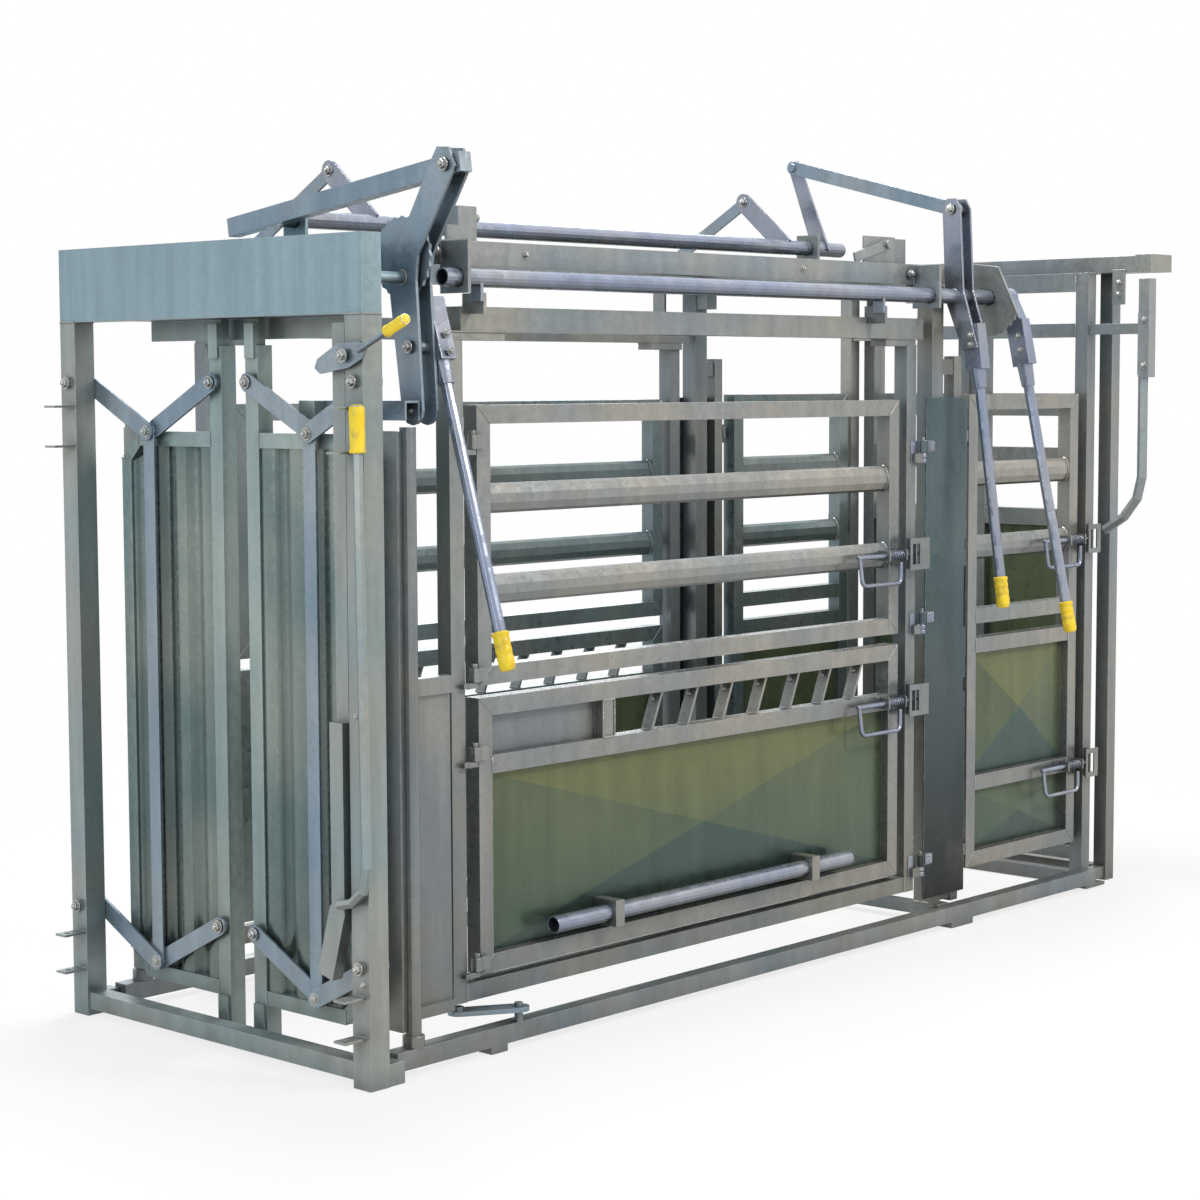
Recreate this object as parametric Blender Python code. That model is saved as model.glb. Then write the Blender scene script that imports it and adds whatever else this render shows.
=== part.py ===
"""Manual cattle crush: head bail, squeezing side frames with split doors, vet gates and a rear sliding gate.

Metres, +Z up. +X runs from the head bail to the rear, -Y is the operator's side.
Lengths along X start at the front face of the head-bail posts while modelling, Y is
measured from the middle plane, and the root empty moves the whole to its own centre.
"""

import math

import bmesh
import bpy
from mathutils import Matrix, Vector


def span(start, size):
    """A range from its start and its size."""
    return (start, start + size)


def around(centre, size):
    """A range from its centre and its size."""
    return (centre - size / 2, centre + size / 2)


# Stock sections
POST = 0.065
FRAME = 0.050
RAIL_TALL = 0.080
RAIL_THICK = 0.040
FLAT = 0.050
FLAT_T = 0.008
PLATE_T = 0.008
SHEET_T = 0.003
TORQUE_R = 0.02415
UPRIGHT_R = 0.0212
LEVER_R = 0.0168
BOLT_R = 0.010
GAP = 0.0004
PIN_GAP = 0.0004

# Overall frame
HALF_WIDTH = 0.6235
HEIGHT = 2.150
HEADER_DEEP = 0.200

# Head bail
LINK_LENGTH = 0.290
TOGGLE_PIVOT_Y = HALF_WIDTH - POST / 2
LEAF_PIVOT_Y = 0.075
TOGGLE_TOP_Z = HEIGHT - 0.367
TOGGLE_BOTTOM_Z = 0.312
LEAF_X = 0.103
LEAF_OUTER_Y = 0.490
LEAF_RAIL_Z = (0.118, HEIGHT - 0.500)
LEAF_STILE_Z = (0.030, HEIGHT - 0.270)
LEAF_TRACK_Z = (HEIGHT - HEADER_DEEP + 0.001, HEIGHT - HEADER_DEEP + 0.009)
CHAMFER = 0.075

# Side frames and doors
SIDE_Y = 0.5235
POST_L_X = 0.390
POST_R_X = 2.410
SIDE_POST_Z = (0.135, HEIGHT - 0.257)
DOOR_GAP = 0.050
UPPER_DOOR_Z = (0.978, SIDE_POST_Z[1] - 0.172)
LOWER_DOOR_Z = (0.200, 0.945)
UPPER_RAILS_Z = (1.473, 1.230)
LOWER_MID_RAIL_Z = 0.763
STUB_POST_X = 0.977
STRIP_COUNT = 7
STRIP_FIRST_X = 1.190
STRIP_LAST_X = POST_R_X - 0.270
STRIP_LEAN = 0.045
BEAM_A_Z = (SIDE_POST_Z[1] + 0.020, SIDE_POST_Z[1] + 0.085)
BEAM_B_SIZE = 0.065
BEAM_B_Y = 0.5035
HINGE_R = 0.009

# Squeeze linkage
TUBE_Y = 0.5635
TUBE_Z = HEIGHT - 0.100
TUBE_X = (0.330, POST_R_X + 0.290)
CENTRE_Z = HEIGHT + 0.072
CENTRE_X = (0.275, POST_R_X + 0.335)
V_FRONT_X = 0.610
V_REAR_X = POST_R_X + 0.040

# Rear
FILLER_Z = (0.100, SIDE_POST_Z[1] - 0.167)
REAR_POST_X = POST_R_X + 1.045
VET_X = (POST_R_X + 0.347, REAR_POST_X - 0.035)
VET_Z = (0.165, SIDE_POST_Z[1] - 0.158)
TRACK_Z = (HEIGHT, HEIGHT + 0.055)

# Levers
LEVER_1_X = 0.2975
LEVER_3_X = POST_R_X + 0.495
GRIP_LENGTH = 0.100
GRIP_R = 0.0215

# Head bail linkage
OUTER_LINK_X = span(POST + 0.0015, PLATE_T)
KNEE_BAR_X = span(OUTER_LINK_X[1] + PIN_GAP, PLATE_T)
INNER_LINK_X = span(KNEE_BAR_X[1] + PIN_GAP, PLATE_T)
TOGGLE_REACH = (TOGGLE_PIVOT_Y - LEAF_PIVOT_Y) / 2
KNEE_Y = TOGGLE_PIVOT_Y - TOGGLE_REACH
KNEE_DROP = math.sqrt(LINK_LENGTH**2 - TOGGLE_REACH**2)
LUG_HEIGHTS = (HEIGHT - 0.435, HEIGHT - 0.545, 0.235, 0.130)
LUG_REACH = 0.070
CRANK_PIVOT = (0.5385, HEIGHT - 0.105)
CRANK_PLATES_X = (0.212, 0.262)
CRANK_TOP = (0.700, HEIGHT + 0.170)
CRANK_FOOT = (0.5735, HEIGHT - 0.440)
CRANK_SPACER = (0.566, HEIGHT - 0.280)
CRANK_LINK_END = (0.1185, HEIGHT + 0.056)
PUSH_BAR_X = (0.016, 0.026)
PUSH_BAR_Y = 0.5385
PUSH_BAR_Z = (0.920, HEIGHT - 0.220)
FRONT_CROSS_X = (0.302, 0.352)
BEARING_T = 0.010
CAM_PIVOT = (0.575, HEIGHT - 0.303)
CAM_X = (-0.014, -0.006)
CHANNEL_X = (LEAF_X + FRAME + 0.006, CRANK_PLATES_X[0] - GAP)
CHANNEL_Z = (CRANK_FOOT[1] - 0.025, CRANK_FOOT[1] + 0.025)

# Base, portal and swing links
BASE_Y = (-0.5935, -0.5435)
BASE_Z = (0.020, 0.070)
REAR_Y = 0.5355
PORTAL_MAIN_X = (POST_R_X + 0.130, POST_R_X + 0.190)
PORTAL_HINGE_X = (PORTAL_MAIN_X[1] + 0.065, PORTAL_MAIN_X[1] + 0.105)
UPRIGHT_X = 0.200
UPRIGHT_Y = 0.5685
UPRIGHT_TOP = HEIGHT - 0.482
SWING_BASE = (0.570, -0.5855)
SWING_FRAME = (0.430, -0.4985)
SWING_Z = (0.100, 0.112)
QUADRANT_X = span(PORTAL_MAIN_X[1] + 0.202, PLATE_T)
HINGE_Y = -0.5335
HINGE_VET_X = PORTAL_HINGE_X[1] + 0.037
HINGE_VET_Y = -0.515
HINGE_VET_R = 0.0065
VET_HINGES_Z = (VET_Z[1] - 0.135, 0.230)

# Squeeze arms and pins
ARM_X = (0.450, POST_R_X - 0.210)
ARM_T = 0.010
CRANK_X = (PORTAL_MAIN_X[1] + 0.005, PORTAL_MAIN_X[1] + 0.060)
NEAR_CRANK_PIN = (-0.5505, TUBE_Z + 0.278)
CENTRE_ARM_PIN = (0.1165, CENTRE_Z + 0.278)
CROSS_X = (CRANK_X[0] + 0.025, CRANK_X[0] + 0.035)
V_TIP = (0.180, CENTRE_Z + 0.156)
V_LUG = (0.575, HEIGHT)

# Door hinges, latches and fillers
HINGE_DOOR_X = POST_L_X + FRAME + DOOR_GAP / 2
DOOR_X = (POST_L_X + FRAME + DOOR_GAP, POST_R_X - 0.041)
UPPER_HINGES_Z = (UPPER_DOOR_Z[1] - 0.096, 1.010)
LOWER_HINGES_Z = (0.800, 0.235)
FILLER_HINGES_Z = (FILLER_Z[1] - 0.166, 1.010, 0.220)
FILLER_HINGE_X = POST_R_X + 0.075
FILLER_X = (FILLER_HINGE_X + 0.015, FILLER_HINGE_X + 0.242)
PANEL_X = (0.2275, 0.338)
LATCH_DOOR_Z = (1.232, 0.764)
LATCH_VET_Z = (1.232, 0.445)


LATCH_Y = -0.5475
BOLT_ROD_R = 0.0080
HANDLE_R = 0.0068
HANDLE_DROP = 0.088
KEEPER_Y = (-0.5685, -0.5635)
KEEPER_TALL = 0.100
EARS_BACK = (0.100, 0.010)
EAR_T = 0.006
RUMP_X = (0.740, DOOR_X[1] - 0.299)
RUMP_Z = 0.300
RUMP_Y = -0.5535
RUMP_TABS_X = (0.960, RUMP_X[1] - 0.220)

# Latch springs
SPRING_R = 0.0130
SPRING_WIRE_R = 0.0016
SPRING_CURLS = 7
SPRING_POINTS = 7


SPRING_LENGTH = EARS_BACK[0] - EARS_BACK[1] - EAR_T - 2 * GAP

# Rear gate
GATE_X = (REAR_POST_X + 0.081, REAR_POST_X + 0.129)
GATE_Y = (0.012, 0.486)
GATE_Z = (0.075, TRACK_Z[0] - 0.090)
GATE_RAILS_Z = ((1.265, 1.325), (1.463, 1.543), (1.655, 1.735))
J_PIVOT_X = REAR_POST_X + 0.020
J_PIVOT_Z = TRACK_Z[0] - 0.194

NEAR = -1.0
FAR = 1.0

GALVANISED = ((0.60, 0.63, 0.65), 0.42, 0.85)
SHEET = ((0.52, 0.58, 0.60), 0.50, 0.80)
ZINC = ((0.70, 0.71, 0.72), 0.32, 0.90)
YELLOW = ((0.90, 0.70, 0.02), 0.45, 0.0)


def clear_scene():
    for old in list(bpy.data.objects):
        bpy.data.objects.remove(old, do_unlink=True)


clear_scene()

PARTS = bpy.data.collections.new("cattle_crush")
bpy.context.scene.collection.children.link(PARTS)
CUTTERS = bpy.data.collections.new("cutters")
bpy.context.scene.collection.children.link(CUTTERS)

ROOT = bpy.data.objects.new("cattle_crush_root", None)
PARTS.objects.link(ROOT)


def material(name, look):
    colour, roughness, metallic = look
    made = bpy.data.materials.new(name)
    made.use_nodes = True
    shader = made.node_tree.nodes["Principled BSDF"]
    shader.inputs["Base Color"].default_value = (*colour, 1.0)
    shader.inputs["Roughness"].default_value = roughness
    shader.inputs["Metallic"].default_value = metallic
    return made


# Shapes, each a closed bmesh in the part's own frame

def block(x, y, z):
    """A box from ranges along the three axes."""
    low = Vector((min(x), min(y), min(z)))
    high = Vector((max(x), max(y), max(z)))
    bm = bmesh.new()
    place = Matrix.Translation((low + high) / 2) @ Matrix.Diagonal((*(high - low), 1.0))
    bmesh.ops.create_cube(bm, size=1.0, matrix=place)
    return bm


def aim(start, end):
    """The rotation that turns +Z towards end."""
    return (Vector(end) - Vector(start)).to_track_quat("Z", "Y").to_matrix().to_4x4()


def rod(start, end, radius, sides=16, end_radius=None):
    """A round bar, or a taper, between two points."""
    start = Vector(start)
    end = Vector(end)
    bm = bmesh.new()
    place = Matrix.Translation((start + end) / 2) @ aim(start, end)
    bmesh.ops.create_cone(
        bm,
        cap_ends=True,
        segments=sides,
        radius1=radius,
        radius2=radius if end_radius is None else end_radius,
        depth=(end - start).length,
        matrix=place,
    )
    return bm


def strut(start, end, thick_x, wide):
    """A flat bar whose length lies in the YZ plane."""
    start = Vector(start)
    end = Vector(end)
    run = end - start
    turn = Matrix.Rotation(math.atan2(run.z, run.y), 4, "X")
    bm = bmesh.new()
    size = Matrix.Diagonal((thick_x, run.length, wide, 1.0))
    bmesh.ops.create_cube(bm, size=1.0, matrix=Matrix.Translation((start + end) / 2) @ turn @ size)
    return bm


def slope(start, end, thick_y, wide):
    """A flat bar whose length lies in the XZ plane."""
    start = Vector(start)
    end = Vector(end)
    run = end - start
    turn = Matrix.Rotation(-math.atan2(run.z, run.x), 4, "Y")
    bm = bmesh.new()
    size = Matrix.Diagonal((run.length, thick_y, wide, 1.0))
    bmesh.ops.create_cube(bm, size=1.0, matrix=Matrix.Translation((start + end) / 2) @ turn @ size)
    return bm


def bore(start, end, radius, sides=8):
    """A round cutter whose flats, not its corners, lie at the radius."""
    return rod(start, end, radius / math.cos(math.pi / sides), sides)


def link(start, end, thick_x, wide, sides=10):
    """A flat bar in the YZ plane with round ends about its two pivots."""
    half = Vector((thick_x / 2, 0, 0))
    ends = [rod(Vector(p) - half, Vector(p) + half, wide / 2, sides) for p in (start, end)]
    return [strut(start, end, thick_x, wide)] + ends


def mesh_from_curve(curve):
    """The welded bmesh of a curve datablock."""
    guide = bpy.data.objects.new("guide", curve)
    bpy.context.scene.collection.objects.link(guide)
    bpy.context.view_layer.update()
    graph = bpy.context.evaluated_depsgraph_get()
    mesh = bpy.data.meshes.new_from_object(guide.evaluated_get(graph))
    bm = bmesh.new()
    bm.from_mesh(mesh)
    bmesh.ops.remove_doubles(bm, verts=bm.verts, dist=0.00001)
    bpy.data.objects.remove(guide, do_unlink=True)
    bpy.data.meshes.remove(mesh)
    return bm


def bend(points, radius, resolution=1):
    """A round bar bent along a list of points."""
    curve = bpy.data.curves.new("bar", "CURVE")
    curve.dimensions = "3D"
    curve.bevel_depth = radius
    curve.bevel_resolution = resolution
    curve.use_fill_caps = True
    spline = curve.splines.new("POLY")
    spline.points.add(len(points) - 1)
    for target, point in zip(spline.points, points):
        target.co = (*point, 1.0)
    bm = mesh_from_curve(curve)
    bmesh.ops.recalc_face_normals(bm, faces=bm.faces)
    return bm


def sector(x, outline):
    """A plate normal to X from an outline of (y, z) points, as a filled 2D curve."""
    curve = bpy.data.curves.new("outline", "CURVE")
    curve.dimensions = "2D"
    curve.fill_mode = "BOTH"
    curve.extrude = abs(x[1] - x[0]) / 2
    spline = curve.splines.new("POLY")
    spline.points.add(len(outline) - 1)
    spline.use_cyclic_u = True
    for point, (y, z) in zip(spline.points, outline):
        point.co = (y, z, 0.0, 1.0)
    bm = mesh_from_curve(curve)
    stand = Matrix(((0, 0, 1, sum(x) / 2), (1, 0, 0, 0), (0, 1, 0, 0), (0, 0, 0, 1)))
    bmesh.ops.transform(bm, matrix=stand, verts=bm.verts)
    bmesh.ops.recalc_face_normals(bm, faces=bm.faces)
    return bm


def mirrored(shapes, side):
    """The near side's shapes as they are, or turned over the middle plane for the far side."""
    if side == NEAR:
        return shapes
    for bm in shapes:
        bmesh.ops.scale(bm, vec=(1, -1, 1), verts=bm.verts)
        bmesh.ops.reverse_faces(bm, faces=bm.faces)
    return shapes


def flatten(shapes):
    """A list of shapes from one shape or from a list that may hold lists."""
    if not isinstance(shapes, (list, tuple)):
        return [shapes]
    return [shape for entry in shapes for shape in flatten(entry)]


def mesh_of(name, shapes, origin):
    joined = bmesh.new()
    for bm in shapes:
        piece = bpy.data.meshes.new("piece")
        bm.to_mesh(piece)
        bm.free()
        joined.from_mesh(piece)
        bpy.data.meshes.remove(piece)
    bmesh.ops.translate(joined, vec=-Vector(origin), verts=joined.verts)
    mesh = bpy.data.meshes.new(name)
    joined.to_mesh(mesh)
    joined.free()
    return mesh


def helper(name, mesh, origin):
    """A hidden operand for a Boolean."""
    obj = bpy.data.objects.new(name, mesh)
    obj.location = origin
    obj.hide_render = True
    obj.display_type = "WIRE"
    CUTTERS.objects.link(obj)
    return obj


def combine(obj, mesh, origin, operation):
    """Applies one Boolean with all of the mesh's overlapping solids."""
    other = helper(obj.name + "_operand", mesh, origin)
    step = obj.modifiers.new(operation.lower(), "BOOLEAN")
    step.operation = operation
    step.solver = "EXACT"
    step.use_self = True
    step.object = other
    bpy.context.view_layer.update()
    graph = bpy.context.evaluated_depsgraph_get()
    baked = bpy.data.meshes.new_from_object(obj.evaluated_get(graph))
    obj.modifiers.clear()
    old = obj.data
    obj.data = baked
    baked.name = obj.name
    bpy.data.meshes.remove(old)
    bpy.data.objects.remove(other, do_unlink=True)


def fuse(name, shapes, look=GALVANISED, origin=(0.0, 0.0, 0.0), holes=()):
    """One closed body from overlapping solids, less the holes, with its origin where it turns."""
    shapes = flatten(shapes)
    obj = bpy.data.objects.new(name, mesh_of(name, shapes[:1], origin))
    obj.location = origin
    obj.parent = ROOT
    PARTS.objects.link(obj)
    if len(shapes) > 1:
        combine(obj, mesh_of(name + "_rest", shapes[1:], origin), origin, "UNION")
    cuts = flatten(list(holes))
    if cuts:
        combine(obj, mesh_of(name + "_holes", cuts, origin), origin, "DIFFERENCE")
    obj.data.materials.clear()
    obj.data.materials.append(material(name, look))
    obj.data.shade_smooth()
    obj.data.set_sharp_from_angle(angle=math.radians(35))
    return obj


def outer(y, thick):
    """The near side's range from an outer plane inwards, y being a distance from the middle."""
    return (-y, -y + thick)


# Head bail


def toggle_pins(x):
    """The bolts through the post that the outer toggle links swing on."""
    pins = []
    for side in (NEAR, FAR):
        for z in (TOGGLE_TOP_Z, TOGGLE_BOTTOM_Z):
            y = side * TOGGLE_PIVOT_Y
            pins.append(rod((x[0], y, z), (x[1], y, z), BOLT_R, 10))
            pins.append(rod((x[0] - 0.009, y, z), (x[0] + 0.002, y, z), BOLT_R * 1.5, 6))
    return pins


def head_bail_frame():
    posts = []
    lugs = []
    holes = []
    for side in (NEAR, FAR):
        y = (side * HALF_WIDTH, side * (HALF_WIDTH - POST))
        posts.append(block((0, POST), y, (0, HEIGHT - HEADER_DEEP + 0.01)))
        for z in LUG_HEIGHTS:
            lugs.append(block((-LUG_REACH, 0.002), (y[0] - side * 0.016, y[0] - side * 0.060),
                              (z, z + 0.006)))
            centre = Vector((-LUG_REACH + 0.024, y[0] - side * 0.038, z))
            holes.append(rod(centre - Vector((0, 0, 0.01)), centre + Vector((0, 0, 0.02)), 0.009, 8))
    header = block((0, POST), (-HALF_WIDTH, HALF_WIDTH), (HEIGHT - HEADER_DEEP, HEIGHT))
    sill = block((0.004, POST - 0.006), (-HALF_WIDTH + 0.02, HALF_WIDTH - 0.02), (0.020, 0.068))
    skids = [block((POST - 0.002, 0.120), (side * (HALF_WIDTH - 0.003), side * (HALF_WIDTH - 0.050)),
                   (0, 0.058))
             for side in (NEAR, FAR)]
    track = block((POST - 0.002, LEAF_X + FRAME + 0.012), (-0.42, 0.42), LEAF_TRACK_Z)
    lips = [block(span(LEAF_X + FRAME + 0.006, 0.006), (-0.42, 0.42),
                  (LEAF_TRACK_Z[0] - 0.055, LEAF_TRACK_Z[1] - 0.001))]
    pivot = (-CRANK_PIVOT[0], CRANK_PIVOT[1])
    shaft = rod((POST - 0.002, *pivot), (CRANK_PLATES_X[1] + PLATE_T + 0.006, *pivot), 0.015, 16)
    cam_pin = rod((CAM_X[0] - 0.010, -CAM_PIVOT[0], CAM_PIVOT[1]), (0.004, -CAM_PIVOT[0], CAM_PIVOT[1]),
                  0.009, 12)
    keeper_y = (-HALF_WIDTH + POST - 0.004, -PUSH_BAR_Y + 0.05)
    keepers = [block(span(PUSH_BAR_X[1] + PIN_GAP, 0.006), keeper_y,
                     span(z, 0.040)) for z in (1.10, HEIGHT - 0.280)]
    beam_z = (HEIGHT - BEAM_B_SIZE, HEIGHT)
    inside = BEAM_B_Y - BEAM_B_SIZE - GAP
    cross = block(FRONT_CROSS_X, (-inside, inside), beam_z)
    stay = block((POST - 0.004, FRONT_CROSS_X[0] + 0.004), (-0.390, -0.345),
                 (beam_z[0] + 0.008, beam_z[1] - 0.012))
    bearing_x = around(sum(FRONT_CROSS_X) / 2, BEARING_T)
    bearing = block(bearing_x, (-0.045, 0.045), (HEIGHT - 0.004, CENTRE_Z + 0.044))
    holes.append(pin_hole(bearing_x, (0.0, CENTRE_Z), TORQUE_R + PIN_GAP))
    solids = [header, posts, sill, skids, track, lips, shaft, cam_pin, keepers, lugs, cross, stay, bearing]
    return fuse("head_bail_frame", [solids, toggle_pins((-0.001, OUTER_LINK_X[1] + 0.003))], holes=holes)


def toggle_points(side, pivot_z):
    """Outer pivot, knee and inner pivot as (y, z) pairs."""
    return (
        (side * TOGGLE_PIVOT_Y, pivot_z),
        (side * KNEE_Y, pivot_z - KNEE_DROP),
        (side * LEAF_PIVOT_Y, pivot_z),
    )


def pin_hole(x, point, radius=BOLT_R + PIN_GAP):
    return bore((x[0] - 0.004, *point), (x[1] + 0.004, *point), radius)


def toggle_pair(where, side, pivot_z):
    place, knee, leaf = toggle_points(side, pivot_z)
    x = OUTER_LINK_X
    mid = sum(x) / 2
    pin_end = INNER_LINK_X[1] + 0.003
    outer_link = link((mid, *place), (mid, *knee), PLATE_T, FLAT)
    knee_pin = rod((x[0] + 0.002, *knee), (pin_end, *knee), BOLT_R, 10)
    fuse(f"toggle_outer_{where}", [outer_link, knee_pin], origin=(mid, *place), holes=[pin_hole(x, place)])
    x = INNER_LINK_X
    mid = sum(x) / 2
    inner_link = link((mid, *knee), (mid, *leaf), PLATE_T, FLAT)
    fuse(f"toggle_inner_{where}", inner_link, origin=(mid, *knee),
         holes=[pin_hole(x, knee), pin_hole(x, leaf)])


def knee_bar(name, side):
    x = KNEE_BAR_X
    mid = sum(x) / 2
    top = toggle_points(side, TOGGLE_TOP_Z)[1]
    bottom = toggle_points(side, TOGGLE_BOTTOM_Z)[1]
    half = Vector((PLATE_T / 2, 0, 0))
    eyes = [rod(Vector((mid, *p)) - half, Vector((mid, *p)) + half, FLAT / 2, 12) for p in (top, bottom)]
    bar = block(x, around(top[0], FLAT - 0.004), (bottom[1], top[1]))
    fuse(f"knee_bar_{name}", [bar, eyes], origin=(mid, *top), holes=[pin_hole(x, top), pin_hole(x, bottom)])


def fluted_outline(x, y_from, y_to, flutes):
    """A trapezoid-fluted sheet seen from above, as (x, y) points of one closed outline."""
    front = []
    pitch = (y_to - y_from) / flutes
    for i in range(flutes):
        start = y_from + i * pitch
        front += [(x[0], start), (x[0], start + pitch * 0.40), (x[1] - SHEET_T, start + pitch * 0.55),
                  (x[1] - SHEET_T, start + pitch * 0.85)]
    front.append((x[0], y_to))
    back = [(px + SHEET_T, py) for px, py in reversed(front)]
    return front + back


def upright_sheet(outline, z):
    """A sheet standing along Z from an outline of (x, y) points."""
    bm = sector(z, outline)
    turn = Matrix(((0, 1, 0, 0), (0, 0, 1, 0), (1, 0, 0, 0), (0, 0, 0, 1)))
    bmesh.ops.transform(bm, matrix=turn, verts=bm.verts)
    return bm


def head_bail_leaf(name, side):
    x = span(LEAF_X, FRAME)
    inner_y = (LEAF_PIVOT_Y - FRAME / 2, LEAF_PIVOT_Y + FRAME / 2)
    outer_y = (LEAF_OUTER_Y - 0.040, LEAF_OUTER_Y)
    low, high = LEAF_RAIL_Z
    rail = 0.040
    frame_x = (x[0], x[1] - 0.006)
    shapes = [
        block(x, [-v for v in inner_y], LEAF_STILE_Z),
        block(frame_x, [-v for v in outer_y], (low + CHAMFER, high - CHAMFER)),
        block(frame_x, (-inner_y[0] - 0.01, -LEAF_OUTER_Y + CHAMFER), (high - rail, high)),
        block(frame_x, (-inner_y[0] - 0.01, -LEAF_OUTER_Y + CHAMFER), (low, low + rail)),
    ]
    mid_x = sum(frame_x) / 2
    thick = frame_x[1] - frame_x[0] - 0.0006
    for end, away in ((high, -1), (low, 1)):
        corner = Vector((mid_x, -LEAF_OUTER_Y + 0.017, end + away * (CHAMFER + 0.006)))
        top = Vector((mid_x, -LEAF_OUTER_Y + CHAMFER + 0.006, end + away * 0.0172))
        shapes.append(strut(corner, top, thick, 0.034))
    outline = fluted_outline((x[0] + 0.008, x[0] + 0.036), inner_y[1] - 0.003, outer_y[0] + 0.003, 3)
    sheet = upright_sheet([(px, -py) for px, py in outline], (low + rail - 0.006, high - rail + 0.006))
    shapes.append(sheet)
    hanger = block((x[0] + 0.012, x[1] - 0.012), (-LEAF_PIVOT_Y - 0.013, -LEAF_PIVOT_Y + 0.013),
                   (LEAF_STILE_Z[1] - 0.004, LEAF_TRACK_Z[0] - GAP))
    guide = block((x[0] - 0.009, x[0] + 0.013), around(-LEAF_PIVOT_Y, 0.036), (1.846, 1.938))
    shoe = block((x[0] - 0.009, x[0] + 0.002), around(-LEAF_PIVOT_Y, 0.040), (0.036, 0.120))
    shapes += [hanger, guide, shoe]
    for z in (TOGGLE_TOP_Z, TOGGLE_BOTTOM_Z):
        pivot = (-LEAF_PIVOT_Y, z)
        shapes.append(rod((INNER_LINK_X[0] - 0.003, *pivot), (x[0] + 0.004, *pivot), BOLT_R, 10))
        shapes.append(rod((INNER_LINK_X[1] + PIN_GAP, *pivot), (x[0] + 0.003, *pivot), 0.016, 12))
    shapes = mirrored(shapes, side)
    if side == NEAR:
        shapes.append(block((x[1] - 0.030, CHANNEL_X[0] - GAP), (-0.300, -0.240),
                            (high - 0.008, CHANNEL_Z[1])))
    else:
        arm_x = (x[1] + 0.016, CRANK_PLATES_X[0] + PLATE_T + 0.030)
        stem_y = around(CRANK_LINK_END[0], 0.040)
        stem_x = span(x[1] + 0.015, 0.022)
        shapes.append(block((x[1] - 0.012, stem_x[1] - 0.002), stem_y, (high - 0.032, high - 0.002)))
        shapes.append(block(stem_x, stem_y, (high - 0.033, V_LUG[1] - 0.016)))
        shapes.append(block(arm_x, stem_y, (V_LUG[1] - 0.035, V_LUG[1] - 0.015)))
        shapes.append(block((arm_x[1] - 0.03, arm_x[1]), stem_y, (V_LUG[1] - 0.034, V_LUG[1] + 0.005)))
    fuse(f"head_bail_leaf_{name}", shapes)


def head_bail():
    head_bail_frame()
    for name, side in (("near", NEAR), ("far", FAR)):
        head_bail_leaf(name, side)
        toggle_pair(f"top_{name}", side, TOGGLE_TOP_Z)
        toggle_pair(f"bottom_{name}", side, TOGGLE_BOTTOM_Z)
        knee_bar(name, side)


def crank_outline():
    """The boomerang plate: a long lower limb, a bend at the pivot and a shorter upper limb."""
    pivot_y, pivot_z = -CRANK_PIVOT[0], CRANK_PIVOT[1]
    foot_y, foot_z = -CRANK_FOOT[0], CRANK_FOOT[1]
    top_y, top_z = -CRANK_TOP[0], CRANK_TOP[1]
    foot = [(foot_y + 0.038 * math.cos(a), foot_z + 0.038 * math.sin(a))
            for a in [math.radians(-180 + 30 * i) for i in range(7)]]
    return foot + [(pivot_y + 0.046, pivot_z - 0.02), (pivot_y + 0.040, pivot_z + 0.035),
                   (top_y + 0.046, top_z + 0.020), (top_y + 0.028,
                                                    top_z + 0.045), (top_y - 0.012, top_z + 0.042),
                   (top_y - 0.036, top_z - 0.005), (pivot_y - 0.060,
                                                    pivot_z + 0.055), (pivot_y - 0.052, pivot_z - 0.01)]


def head_bail_crank():
    pivot = (-CRANK_PIVOT[0], CRANK_PIVOT[1])
    top = (-CRANK_TOP[0], CRANK_TOP[1])
    spacer = (-CRANK_SPACER[0], CRANK_SPACER[1])
    plates = [sector(span(x, PLATE_T), crank_outline()) for x in CRANK_PLATES_X]
    far_face = CRANK_PLATES_X[1] + PLATE_T
    pins = [rod((CRANK_PLATES_X[0] - 0.007, *p), (far_face + 0.0002, *p), BOLT_R,
                10) for p in (top, spacer)]
    spacer_tube = rod((CRANK_PLATES_X[0] + 0.004, *spacer), (far_face - 0.004, *spacer), 0.018, 12)
    holes = [pin_hole((CRANK_PLATES_X[0], far_face), pivot, 0.015 + PIN_GAP)]
    fuse("head_bail_crank", [plates, pins, spacer_tube], origin=(sum(CRANK_PLATES_X) / 2, *pivot),
         holes=holes)


def crank_link():
    x = (CRANK_PLATES_X[0] + PLATE_T + 0.0015, CRANK_PLATES_X[1] - 0.0015)
    mid = sum(x) / 2
    pin = Vector((mid, -CRANK_TOP[0], CRANK_TOP[1]))
    end = Vector((mid, *CRANK_LINK_END))
    along = (end - pin).normalized()
    bar = strut(pin - along * 0.045, end + along * 0.040, x[1] - x[0], FLAT)
    mouth = strut(end - along * 0.030, end + along * 0.080, x[1] - x[0] - 0.008, FLAT - 0.008)
    fuse("crank_link", bar, origin=pin, holes=[pin_hole(x, pin[1:]), mouth])


def drive_channel():
    y = (-CRANK_FOOT[0] - 0.030, -0.205)
    web = block(CHANNEL_X, y, CHANNEL_Z)
    trough = block((CHANNEL_X[0] + 0.006, CHANNEL_X[1] - 0.006), (y[0] - 0.01, y[1] + 0.01),
                   (CHANNEL_Z[0] - 0.01, CHANNEL_Z[1] - 0.006))
    fuse("drive_channel", web, holes=[trough])


def quadrant_outline(centre, radius, teeth, tooth):
    """A round plate with a serrated edge."""
    outline = []
    for i in range(teeth * 2):
        angle = math.pi * i / teeth
        reach = radius - (tooth if i % 2 else 0.0)
        outline.append((centre[0] + reach * math.cos(angle), centre[1] + reach * math.sin(angle)))
    return outline


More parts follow.
